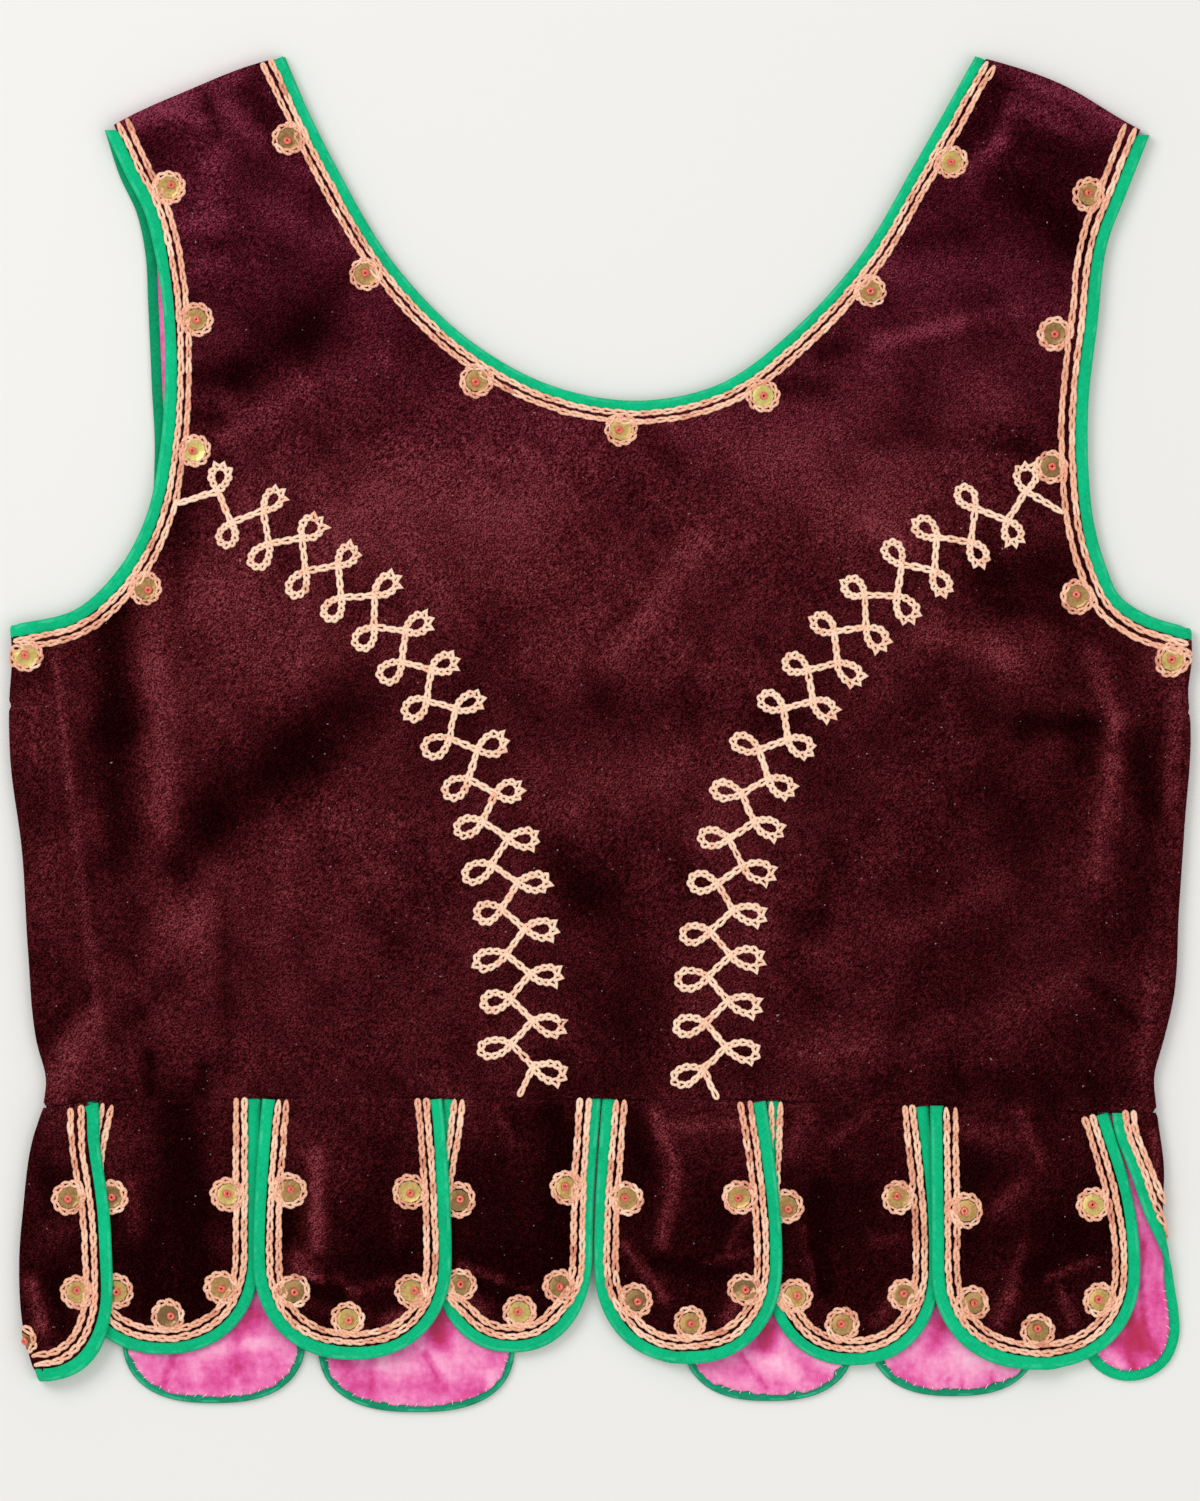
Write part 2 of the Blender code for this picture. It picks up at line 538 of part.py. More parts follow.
def side(name, wound, back_armhole, front_armhole_edge, back_seam, front_seam, gusset_seam):
    """One side: an underarm gusset and a lower piece, and the binding round the armhole.

    All are drawn in the flat cloth of the side, front at the left of the fold.
    """
    facing = wound.inward
    armhole_back = wound.flat(back_armhole if facing > 0 else reverse(back_armhole), 1)
    armhole_front = wound.flat(
        front_armhole_edge if facing > 0 else reverse(front_armhole_edge), -1)
    round_fold = [p for p in armhole_back if p[0] > FOLD_ARC]
    round_fold += [(run, armhole_back[-1][1]) for run in (FOLD_ARC / 2, 0.0, -FOLD_ARC / 2)]
    round_fold += [p for p in reverse(armhole_front) if p[0] < -FOLD_ARC]
    armhole = np.array(round_fold)
    bind_edge(f"binding_armhole_{name}", armhole, wound, BINDING)

    back_side = wound.flat(back_seam, 1)
    front_side = wound.flat(front_seam, -1)
    reach = (front_side[:, 0].min() - SEAM_REACH, back_side[:, 0].max() + SEAM_REACH)
    across = np.array([(run, gusset_seam) for run in reach])
    inner = (max(back_seam[-1][0] * facing, front_seam[-1][0] * facing) + WAIST_REACH) * facing
    fold_end = across_at(wound.line, waist_at(across_at(wound.line, WAIST[0].y)))
    stops = np.linspace(fold_end + facing * FOLD_RADIUS, inner, SIDE_WAIST_STOPS)
    waist_plan = np.array([(x, waist_at(x)) for x in stops])
    waist = np.vstack([reverse(wound.flat(waist_plan, -1)), wound.flat(waist_plan, 1)])
    # trimmed clear of the corner where the armhole turns up towards the shoulder
    under_arm = np.array([p for p in armhole if p[1] < ARM_CORNER])
    gusset = outline(inset(across, half_seam), inset(reverse(back_side), half_seam),
                     inset(under_arm, past_binding), inset(front_side, half_seam))
    cut_cloth(f"side_{name}_upper", gusset, wound, WALL, velvet, PANEL_CELL, folded=True)
    lower_piece = outline(inset(waist, half_seam), inset(reverse(back_side), half_seam),
                          inset(reverse(across), half_seam), inset(front_side, half_seam))
    cut_cloth(f"side_{name}_lower", lower_piece, wound, WALL, velvet, PANEL_CELL, folded=True)


def back_tabs():
    """The tabs of the back, velvet upward."""
    for tab in BACK_TABS:
        edge = tab_edge(tab, waist_at(tab.top_left) - half_seam, waist_at(tab.top_right) - half_seam)
        place = Laid(tab_height(tab, edge))
        top = reverse(waist_edge(tab.top_left, tab.top_right))
        cut_cloth(tab.name, outline(inset(edge, past_binding), inset(top, half_seam)), place,
                  WALL, velvet, TAB_CELL)
        bind_edge(f"binding_{tab.name}", edge, place, BINDING)


def front_tabs():
    """The tabs of the fronts, lining upward."""
    for tab in FRONT_TABS:
        edge = tab_edge(tab, waist_at(tab.top_left) - half_seam,
                        waist_at(tab.top_right) - half_seam, FRONT_TAB_ROUND, FRONT_TAB_POWER)
        top = reverse(waist_edge(tab.top_left, tab.top_right))
        cloth = outline(inset(edge, INNER_BINDING + SEAM), inset(top, half_seam))
        cut_cloth(tab.name, cloth, lower, THIN_WALL, velvet, INNER_TAB_CELL,
                  THIN_WALL / 2 - LOWER_LEVEL)
        cut_cloth(f"{tab.name}_lining", cloth, lower, THIN_WALL, satin, INNER_TAB_CELL, LINING_STEP)
        bind_edge(f"binding_{tab.name}", edge, lower, INNER_BINDING, inner_binding_cotton)


def left_top_at(run):
    """Height of the left side tab's top below the waist seam, at a distance from its fold."""
    past = max(abs(run) - FOLD_ARC, -FOLD_RADIUS)
    return waist_at(WAIST[0].x + past + FOLD_RADIUS) - half_seam


def side_tabs():
    """The tabs that are folded round the sides. The right one has turned its lining up."""
    tab = LEFT_SIDE_TAB
    top = left_top_at(tab.top_right - BINDING)
    edge = tab_edge(tab, top, top)

    def left_height(x, y):
        from_edge = across_at(left_side, y) + side_at(edge, y, True) - x
        lifted = TAB_LIFT * (1 - ease((from_edge - tab.over_right) / TAB_LIFT_FALL))
        return max(LOWER_LEVEL + 2 * FOLD_RADIUS, UPPER_LEVEL + lifted)

    place = Wound(left_side, 1, left_height)
    top_edge = np.array([(run, left_top_at(run)) for run in LEFT_TOP])
    cut_cloth(tab.name, outline(inset(edge, past_binding), top_edge), place, WALL, velvet,
              TAB_CELL, folded=True)
    bind_edge(f"binding_{tab.name}", edge, place, BINDING)

    place = Wound(right_side, -1, lambda x, y: LOWER_LEVEL + 2 * FOLD_RADIUS)
    top = waist_at(WAIST[-1].x) - half_seam
    edge = reverse(smooth(RIGHT_SIDE_TAB_EDGE, TAB_EDGE_STEP))
    top_edge = np.array([(run, top) for run in RIGHT_TOP])
    cloth = outline(inset(edge, past_binding), top_edge)
    cut_cloth("side_tab_right", cloth, place, THIN_WALL, velvet, TAB_CELL,
              LOWER_LEVEL - THIN_WALL / 2, folded=True)
    cut_cloth("side_tab_right_lining", cloth, place, THIN_WALL, satin, TAB_CELL,
              -LINING_STEP, folded=True)
    bind_edge("binding_side_tab_right", edge, place, BINDING)


back()
fronts()
side("left", left_wound, left_armhole, left_front_armhole, left_back_seam, left_front_seam,
     LEFT_GUSSET_SEAM)
side("right", right_wound, right_armhole, right_front_armhole, right_back_seam,
     right_front_seam, RIGHT_GUSSET_SEAM)
back_tabs()
front_tabs()
side_tabs()
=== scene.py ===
"""Embroidered folk vest laid flat with its back upward: its velvet, satin, bindings and
embroidery. Lengths are millimetres until a mesh is made, and MM turns them into metres.
"""
import json
import math
from collections import namedtuple

import bpy
import numpy as np
from mathutils import Vector
from mathutils.geometry import delaunay_2d_cdt
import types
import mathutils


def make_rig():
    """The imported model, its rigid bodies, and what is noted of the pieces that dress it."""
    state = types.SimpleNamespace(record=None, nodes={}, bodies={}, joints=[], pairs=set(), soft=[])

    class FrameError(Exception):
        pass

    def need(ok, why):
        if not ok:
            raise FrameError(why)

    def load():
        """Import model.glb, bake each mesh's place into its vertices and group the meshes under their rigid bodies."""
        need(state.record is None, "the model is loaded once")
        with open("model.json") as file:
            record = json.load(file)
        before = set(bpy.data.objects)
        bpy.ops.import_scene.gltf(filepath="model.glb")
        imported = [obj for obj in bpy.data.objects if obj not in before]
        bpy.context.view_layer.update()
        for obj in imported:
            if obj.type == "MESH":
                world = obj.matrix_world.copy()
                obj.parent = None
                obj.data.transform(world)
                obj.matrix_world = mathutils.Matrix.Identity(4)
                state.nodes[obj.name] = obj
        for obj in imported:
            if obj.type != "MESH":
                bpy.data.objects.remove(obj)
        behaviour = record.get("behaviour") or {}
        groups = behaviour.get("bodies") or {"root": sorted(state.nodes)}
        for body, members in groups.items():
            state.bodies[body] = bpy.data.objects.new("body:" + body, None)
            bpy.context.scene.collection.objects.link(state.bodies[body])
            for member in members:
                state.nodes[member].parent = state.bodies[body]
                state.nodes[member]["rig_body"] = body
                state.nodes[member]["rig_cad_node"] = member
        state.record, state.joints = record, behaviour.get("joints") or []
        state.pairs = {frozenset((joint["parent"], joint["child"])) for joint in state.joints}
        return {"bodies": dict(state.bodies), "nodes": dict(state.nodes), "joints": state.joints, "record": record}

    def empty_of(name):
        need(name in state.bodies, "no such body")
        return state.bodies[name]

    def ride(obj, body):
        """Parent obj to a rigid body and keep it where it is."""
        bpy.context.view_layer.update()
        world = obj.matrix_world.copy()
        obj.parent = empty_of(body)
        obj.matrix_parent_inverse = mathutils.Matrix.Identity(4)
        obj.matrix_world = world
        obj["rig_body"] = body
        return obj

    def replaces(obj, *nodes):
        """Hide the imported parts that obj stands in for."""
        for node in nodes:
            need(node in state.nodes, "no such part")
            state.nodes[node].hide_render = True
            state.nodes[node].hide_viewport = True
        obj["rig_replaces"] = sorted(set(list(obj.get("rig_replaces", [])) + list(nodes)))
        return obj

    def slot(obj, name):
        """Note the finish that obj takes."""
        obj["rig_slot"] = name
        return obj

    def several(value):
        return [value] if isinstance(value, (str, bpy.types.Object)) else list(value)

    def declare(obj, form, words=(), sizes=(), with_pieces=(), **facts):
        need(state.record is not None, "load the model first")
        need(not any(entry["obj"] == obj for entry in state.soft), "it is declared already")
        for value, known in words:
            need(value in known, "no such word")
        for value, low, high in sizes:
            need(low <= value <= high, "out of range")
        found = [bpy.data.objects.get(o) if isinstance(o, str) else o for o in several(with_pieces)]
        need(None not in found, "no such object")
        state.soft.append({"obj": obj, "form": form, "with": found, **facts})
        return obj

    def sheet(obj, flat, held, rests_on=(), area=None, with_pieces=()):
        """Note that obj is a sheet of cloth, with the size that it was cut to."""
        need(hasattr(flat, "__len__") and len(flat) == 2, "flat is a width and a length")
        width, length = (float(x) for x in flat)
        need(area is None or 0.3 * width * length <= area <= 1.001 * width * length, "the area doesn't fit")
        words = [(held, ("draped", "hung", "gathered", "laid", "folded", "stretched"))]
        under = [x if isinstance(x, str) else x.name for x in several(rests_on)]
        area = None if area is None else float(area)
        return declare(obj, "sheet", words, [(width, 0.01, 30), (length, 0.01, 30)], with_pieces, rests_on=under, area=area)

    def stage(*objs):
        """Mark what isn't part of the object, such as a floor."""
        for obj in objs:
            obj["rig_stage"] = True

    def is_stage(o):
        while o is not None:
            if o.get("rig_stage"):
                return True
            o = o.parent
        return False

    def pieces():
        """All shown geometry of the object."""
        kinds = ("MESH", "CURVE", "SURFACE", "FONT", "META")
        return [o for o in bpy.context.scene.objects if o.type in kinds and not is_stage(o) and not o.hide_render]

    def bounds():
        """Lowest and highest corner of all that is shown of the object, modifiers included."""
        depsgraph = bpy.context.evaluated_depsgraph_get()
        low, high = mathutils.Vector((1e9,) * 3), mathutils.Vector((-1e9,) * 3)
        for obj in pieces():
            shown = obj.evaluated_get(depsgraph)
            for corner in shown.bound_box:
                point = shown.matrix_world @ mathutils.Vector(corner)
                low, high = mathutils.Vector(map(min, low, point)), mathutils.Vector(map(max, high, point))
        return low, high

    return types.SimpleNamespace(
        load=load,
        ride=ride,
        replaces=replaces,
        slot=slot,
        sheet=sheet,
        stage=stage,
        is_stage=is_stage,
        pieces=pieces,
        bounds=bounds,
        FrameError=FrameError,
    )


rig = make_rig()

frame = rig.load()
cad_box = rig.bounds()


# ------------------------------
# The back. One piece of maroon cotton velvet with both straps, cut with its pile running
# down to the waist. Its neck and armholes stay raw until they are bound, and the cloth
# lies over the fronts in soft folds.
# ------------------------------

MM = 0.001
WALL = 2.0                  # velvet with its hidden lining
SEAM = 0.12                 # from one piece to the next
BINDING = 5.2               # width of the bias binding
UNDER_BINDING = 1.2         # of a cloth's raw edge that the binding covers
LOWER_LEVEL = 1.0           # middle of a wall that lies on the surface
UPPER_LEVEL = 3.6           # middle of the back's wall
FOLD_RADIUS = 1.8           # of the middle of the wall at the side folds
FOLD_ARC = FOLD_RADIUS * math.pi / 2
FOLD_PUFF_START = 4.0
FOLD_PUFF_RUN = 25.0        # over which the cloth comes down from a side fold
UNDER_ARM = 60.0            # height at which the side folds begin
UNDER_ARM_RUN = 20.0
SHOULDER_REST = 16.0        # over which the relief dies out below a shoulder
EDGE_STEP = 3.0
CURVE_FINENESS = 24         # places worked out between one row of an edge and the next
CLOTH_CELL = 2.6
SAME_PLACE = 1e-4           # points that are nearer than this are joined
BACK_WAIST = (-187.0, 202.0)
FOLD_COLUMNS = FOLD_ARC * np.linspace(-1.3, 1.3, 9)

# A line on the cloth and how far its effect spreads. A crease lifts the cloth by so many
# millimetres. A shading stroke makes the colour lighter, or darker if it is below 0: it gives
# the brushing of the pile together with painted shade and highlights of the folds.
Stroke = namedtuple("Stroke", "x0 y0 x1 y1 spread by")
Swell = namedtuple("Swell", "x y across along rise")


def strokes(*rows):
    return [Stroke(*row) for row in rows]


# Finished edges, each run so that the cloth is on its left. The third number at an armhole
# is how much further out a front lies there than the back.
NECK_EDGE = (
    (140.4, 254.1), (117.6, 213.6), (97.3, 179.4), (74.4, 153.6), (42.9, 130.6), (14.1, 125.1),
    (-17.1, 130.3), (-45.9, 145.4), (-74.4, 172.7), (-100.3, 215.1), (-119.1, 254.1))
LEFT_SHOULDER = (
    (-119.1, 254.1), (-133.3, 249.9), (-153.6, 241.7), (-177.9, 230.8), (-185.8, 226.4))
RIGHT_SHOULDER = (
    (205.7, 224.6), (197.8, 228.9), (171.9, 243.9), (150.6, 251.4), (140.4, 254.1))
LEFT_ARMHOLE = (
    (-185.8, 226.4, 0), (-177.9, 209.4, 2.4), (-170.8, 195.2, 3), (-167.1, 180.6, 3.6),
    (-164.1, 160.7, 5.5), (-163.3, 131.8, 5), (-165.6, 103.3, 1.6), (-170.1, 82.3, -1),
    (-180.6, 62.1, -1.5), (-196.3, 47.1, -1), (-220.3, 41, 0))
RIGHT_ARMHOLE = (
    (220.3, 39.9, 0), (203.4, 45.6, -1), (194.8, 51.6, -1.5), (189.2, 63.6, -1.5), (185.1, 78.2, -1.5),
    (182.8, 100, -1.5), (182.8, 123.2, -1.5), (186.2, 153.6, -1.5), (190.7, 186.6, -1.5),
    (196.3, 200.8, -1.5), (205.7, 224.6, 0))
LEFT_BACK_SEAM = (
    (-207, 60), (-206.8, 42.2), (-204.9, 17.8), (-198.6, -22.3), (-191.4, -79.7), (-188.1, -109.7),
    (-187.3, -150))
RIGHT_BACK_SEAM = (
    (214.5, 60), (214.5, 40.7), (213, 8.4), (210.6, -20.8), (208.4, -65.4), (205.9, -99.6),
    (202.7, -122.1), (201.9, -155))
WAIST = (
    (-208.3, -140.4), (-187.3, -136.4), (-124.7, -136.3), (0, -136.3), (86.1, -137.4), (157.7, -140.4),
    (207.6, -141.9))

# The folds at the sides, from the armhole down round the tab below
LEFT_SIDE = (
    (-220.3, 41), (-219.6, 30.6), (-220.7, 10.7), (-220.3, -8.1), (-215.8, -44.1), (-213.6, -80.8),
    (-210.4, -115), (-206.8, -130), (-208.3, -140.4), (-211.9, -152), (-215.4, -177.6), (-216.9, -198),
    (-214.8, -226), (-210, -243))
RIGHT_SIDE = (
    (220.3, 39.9), (220.7, 29.1), (219.2, 14.8), (219.9, 7.7), (217.7, -36.9), (215.8, -65.4),
    (213.6, -99.6), (209.4, -116.8), (206.6, -127), (207.6, -141.9), (210.2, -162.9), (209.8, -179.1),
    (213.9, -204.6), (216.9, -221), (216.9, -243))

# Large folds and swells, and then the creases that the cloth took when it was worn and put away
FOLDS = strokes(
    (183, 52, 194, 14, 8, 1.5), (194, 14, 186, -58, 8, 1.5), (-178, 34, -168, -96, 9, 1.2),
    (-150, 58, -138, -20, 13, 0.9), (148, 236, 163, 205, 8, 1.1), (168, 226, 172, 196, 6, 0.9),
    (-160, 214, -140, 178, 10, 0.8), (-128, 120, -84, 60, 16, 0.8), (150, 96, 112, 34, 15, 0.9),
    (-60, -118, -38, -60, 12, 0.6), (96, -122, 118, -66, 13, 0.7))
CREASES = strokes(
    (186, 40, 199, 8, 2.6, 0.55), (201, 6, 190, -52, 3, 0.5), (205, -20, 199, -78, 3.2, -0.45),
    (150, 240, 156, 214, 3, 0.5), (160, 236, 170, 204, 2.8, -0.45), (176, 232, 178, 200, 2.6, 0.45),
    (-176, 36, -173, -40, 4.5, -0.5), (-160, 24, -152, -90, 5, -0.4), (-152, 236, -168, 222, 3, 0.4),
    (-120, 96, -66, 30, 5, -0.3), (-30, 96, 40, 20, 7, 0.3), (120, 70, 160, -30, 6, -0.3),
    (-90, -112, -76, -66, 4, 0.3), (60, -126, 74, -84, 4, 0.3), (0, -128, 6, -70, 5, -0.25),
    (150, -128, 162, -90, 4, 0.35))
SWELLS = [Swell(*row) for row in (
    (-70, 30, 60, 80, 0.7), (60, 0, 70, 60, 0.8), (0, -150, 300, 26, 1.1), (0, 60, 40, 40, 0.4))]

# How the pile is brushed, with painted shade and highlights of the folds and creases, on the
# straps and the body and then on the tabs, which are painted darker for the shade they lie in
PILE_AND_SHADE = strokes(
    (-183, 45, -181, 5, 8, -0.75), (-183, 0, -182, -45, 7.5, -0.55), (-167, 24, -164, -34, 6.5, 0.42),
    (-140, 58, -120, 25, 18, 0.25), (-158, -50, -146, -34, 7, -0.45),
    (-142, -28, -118, -10, 14, -0.48), (-115, -5, -88, 12, 13, -0.35), (-85, 15, -60, 12, 14, -0.2),
    (-120, -45, -75, -28, 12, 0.15), (-118, -42, -119, -62, 4, 0.2), (-163, -78, -147, -68, 8, 0.22),
    (-182, -112, -160, -92, 5, -0.3), (-169, -120, -169, -134, 2.5, -0.54),
    (-149, -124, -149, -134, 2.5, -0.54), (-126, -120, -128, -134, 3, -0.1),
    (-141, -58, -140, -125, 2.5, -0.24), (-70, -42, -66, -58, 6, -0.15),
    (-55, -75, -52, -130, 6, -0.15), (-208, -112, -190, -96, 5, -0.4),
    (-203, -130, -192, -106, 6, 0.45), (-217, 14, -211, -6, 6, 0.2), (-204, 30, -199, -18, 1.8, 0.41),
    (-199, -18, -186, -122, 1.8, 0.27), (-198, -28, -192, -55, 5, -0.25),
    (-158, 85, -158, 50, 5, -0.4), (-95, 85, -35, 88, 20, 0.42), (-95, 52, -65, 50, 8, -0.15),
    (-44, 104, -28, 103, 5, 0.2), (4, 28, 38, 72, 6, 0.38), (4, 41, 13, 50, 2.2, -0.3),
    (2, 60, 22, 92, 4, 0.15), (60, 100, 110, 86, 14, 0.3), (101, 79, 118, 68, 4, 0.35),
    (0, 14, 70, 6, 9, -0.25), (0, -20, 25, -14, 10, 0.15), (-18, -45, -10, -60, 10, -0.35),
    (20, -42, 32, -50, 8, -0.2), (5, -60, 12, -125, 14, -0.22), (88, -40, 82, -70, 6, -0.25),
    (72, -70, 76, -95, 8, -0.3), (112, -74, 148, -56, 7, 0.34), (125, -112, 178, -92, 7, 0.28),
    (75, -118, 118, -116, 9, 0.28), (183, -92, 200, -108, 3, -0.41), (130, -130, 200, -132, 5, -0.15),
    (126, 37, 150, 30, 7, 0.45), (150, 30, 166, 28, 6, 0.25), (150, 58, 172, 62, 12, -0.5),
    (150, 47, 172, 46, 4, -0.3), (160, 4, 186, 4, 5, -0.5), (178, 2, 183, -10, 6, -0.4),
    (140, 10, 160, 4, 7, -0.2), (184.5, 30, 192.6, 5, 3.6, 0.45), (192.6, 5, 191.4, -11.4, 4, 0.55),
    (191.4, -11.4, 185.7, -52, 4.2, 0.4), (203, -5, 206, -28, 6, -0.4), (216, 15, 213, -30, 2.5, 0.41),
    (206, -95, 203, -128, 4, 0.2), (-178, 232, -160, 236, 6, 0.3), (-165, 234, -148, 230, 3, 0.41),
    (-131, 240, -126, 232, 5, -0.3), (-148, 240, -144, 224, 2.5, -0.41),
    (-141, 236, -129, 224, 4, 0.35), (-116, 214, -108, 210, 4, 0.3), (-144, 216, -148, 196, 5, 0.2),
    (-132, 212, -104, 202, 8, -0.22), (-166, 222, -152, 220, 6, -0.15),
    (-158, 190, -143, 193, 4, 0.25), (-158, 185, -143, 184, 3, -0.2), (-157, 170, -143, 176, 5, 0.25),
    (-125, 193, -97, 188, 8, 0.15), (-153, 135, -135, 134, 6, -0.5), (-135, 136, -112, 148, 8, -0.42),
    (-112, 150, -98, 172, 8, -0.28), (-141, 111, -112, 129, 4.5, 0.28), (-112, 130, -80, 140, 6, 0.12),
    (-153, 119, -143, 118, 4, -0.42), (-104, 109, -88, 113, 5, -0.22), (150, 243, 138, 222, 8, -0.45),
    (154, 240, 149, 222, 2.2, 0.3), (149, 222, 138, 212, 3.2, 0.4), (157, 222, 146, 203, 4, -0.3),
    (156, 236, 173, 228, 4, 0.4), (182, 224, 192, 226, 4, 0.3), (164, 222, 180, 215, 9, -0.35),
    (160, 205, 176, 186, 9, -0.38), (172, 188, 177, 180, 5, -0.25), (118, 184, 135, 187, 5, -0.3),
    (112, 174, 150, 172, 8, 0.18), (104, 147, 134, 154, 3, 0.57), (134, 155, 156, 159, 4, 0.3),
    (133, 138, 148, 124, 6, 0.2), (68, 130, 84, 129, 4, -0.35), (83, 143, 92, 145, 3, -0.34),
    (118, 112, 158, 108, 6, -0.3), (40, 112, 80, 108, 12, 0.2), (100, 104, 106, 101, 4, 0.3),
    (18, 112, 28, 102, 5, -0.3), (-190, -192, 205, -192, 50, -0.5), (207, 10, 203, -90, 12, -0.22),
    (-95, -150, -95, -200, 18, -0.1), (30, -150, 30, -190, 12, 0.12), (150, -30, 150, -110, 55, -0.2),
    (0, -55, 8, -130, 26, -0.18), (-60, 80, 60, 90, 40, 0.07), (165, 220, 150, 150, 28, -0.12),
    (-150, 200, -132, 150, 24, -0.12), (5, -40, 5, -80, 22, -0.1), (125, 0, 130, -105, 38, -0.1),
    (32, 17, 49, 55, 6, -0.18), (160, 245, 186, 236, 5, 0.28), (-155, 240, -140, 236, 6, 0.12),
    (-42, 40, -28, 10, 9, -0.12), (66, -80, 80, -70, 8, -0.15), (-122, -78, -112, -62, 7, 0.18),
    (-194, -50, -190, -70, 6, -0.15), (-65, -98, -62, -120, 8, -0.2),
    (-155, -105, -140, -103, 8, -0.12), (172, 28, 180, 16, 6, -0.18), (118, 162, 140, 168, 7, 0.12),
    (160, 182, 174, 168, 7, -0.15), (34, -20, 30, -42, 7, -0.18), (-184, -148, -184, -166, 6, 0.15),
    (-150, 225, -130, 215, 20, 0.14), (-176, 229, -135, 246, 3, 0.41), (150, 249, 196, 229, 3, 0.34),
    (-30, -150, -30, -205, 22, -0.32), (-176, 5, -173, -112, 9, -0.2), (94, -150, 94, -200, 20, -0.14),
    (-207, -165, -203, -176, 5, -0.45), (-206, -190, -200, -184, 7, 0.4),
    (-213, -205, -209, -222, 3, 0.85), (-204, -205, -201, -222, 5, -0.45),
    (-206, -146, -203, -158, 4, 0.15), (-176, -168, -174, -190, 3.5, 0.51),
    (-158, -140, -156, -175, 8, -0.6), (-153, -178, -151, -215, 5, -0.6),
    (-170, -195, -165, -215, 9, -0.45), (-147, -148, -145, -168, 5, 0.15),
    (-147, -188, -141, -192, 4, 0.2), (-107, -158, -106, -192, 3.2, 0.93),
    (-117, -192, -107, -202, 3.5, 0.59), (-115, -200, -103, -205.5, 1.8, 0.68),
    (-119, -180, -118, -190, 3.5, -0.85), (-110, -207, -98, -209, 2.5, -0.85),
    (-99, -203, -92, -210, 1.8, 0.59), (-92, -208, -78, -204.5, 2, 0.51),
    (-88, -198, -74, -196, 3, -0.59), (-76, -176, -77, -195, 3, 0.34),
    (-80, -220, -74, -217, 2.5, 0.85), (-95, -150, -88, -180, 12, 0.05),
    (-16, -150, -15, -205, 5, -0.5), (-50, -186, -44, -188, 4, 0.2), (-52, -199, -38, -204, 1.6, 0.85),
    (-38, -204, -26, -208, 1.6, 0.68), (-48, -205, -36, -209, 2, -0.68),
    (-50, -208, -44, -216, 3.5, 0.59), (-39, -140, -33, -153, 1.6, 0.34),
    (-19, -142, -11, -156, 3.5, -0.68), (-30, -155, -28, -185, 6, 0.15),
    (13, -145, 16, -163, 6, -0.45), (20, -142, 27, -160, 2.5, 0.68), (28, -165, 23, -190, 3, 0.76),
    (26, -147, 55, -146, 2.5, 0.35), (38, -155, 44, -180, 8, -0.15), (22, -198, 45, -201, 3, -0.51),
    (38, -199, 54, -194, 1.8, 0.59), (56, -180, 48, -191, 2.5, 0.59), (9, -191, 24, -212, 2, 0.76),
    (51, -213, 47, -219, 2.5, 0.68), (77, -143, 69, -158, 4, 0.35), (87, -152, 100, -142, 2, 0.43),
    (83, -170, 81, -190, 3.2, -1.01), (81, -190, 84, -208, 2.5, -1.01), (77, -185, 80, -205, 2, 0.59),
    (103, -190, 113, -188, 3, 0.34), (103, -220, 110, -212, 3, 0.51), (134, -148, 157, -152, 4, 0.25),
    (157, -142, 165, -160, 2, 0.59), (140, -164, 152, -163, 6, -0.3), (146, -180, 158, -169, 3, 0.43),
    (176, -186, 184, -192, 6, -0.3), (167, -203.5, 184, -197, 1.8, 0.85),
    (158, -192, 154, -208, 3, 0.51), (152, -212, 149, -220, 3.5, 0.76),
    (172, -208, 177, -220, 2, 0.68), (160, -200, 168, -200, 3, -0.51), (207, -150, 209, -175, 2, 0.68))


def smooth(rows, step=EDGE_STEP):
    """Points at even steps along a smooth curve through the rows."""
    knots = np.array(rows, float)[:, :2]
    along = np.concatenate([[0.0], np.cumsum(np.linalg.norm(np.diff(knots, axis=0), axis=1))])
    slopes = np.gradient(knots, along, axis=0)
    fine = np.linspace(0.0, along[-1], CURVE_FINENESS * len(knots))
    span = np.clip(np.searchsorted(along, fine, side="right") - 1, 0, len(knots) - 2)
    width = (along[span + 1] - along[span])[:, None]
    t = (fine[:, None] - along[span][:, None]) / width
    curve = ((2 * t**3 - 3 * t**2 + 1) * knots[span] + (t**3 - 2 * t**2 + t) * width * slopes[span]
             + (3 * t**2 - 2 * t**3) * knots[span + 1] + (t**3 - t**2) * width * slopes[span + 1])
    return even(curve, step)


def even(curve, step):
    """The same curve with its points at even steps."""
    along = np.concatenate([[0.0], np.cumsum(np.linalg.norm(np.diff(curve, axis=0), axis=1))])
    stops = np.linspace(0.0, along[-1], max(2, round(along[-1] / step) + 1))
    return np.column_stack([np.interp(stops, along, curve[:, axis]) for axis in (0, 1)])


def unit(vectors):
    return vectors / np.linalg.norm(vectors, axis=-1, keepdims=True)


def heading(line):
    """The direction in which a line runs at each of its points, one unit long."""
    return unit(np.gradient(line, axis=0))


def leftward(run):
    """Directions turned a quarter of a turn to the left."""
    return np.column_stack([-run[:, 1], run[:, 0]])


def inset(edge, distance):
    """The edge moved to its left, into the cloth."""
    return edge + distance * leftward(heading(edge))


def extended(edge, reach=30.0):
    """The edge run on straight past both its ends."""
    return np.vstack([edge[0] + unit(edge[0] - edge[1]) * reach, edge,
                      edge[-1] + unit(edge[-1] - edge[-2]) * reach])


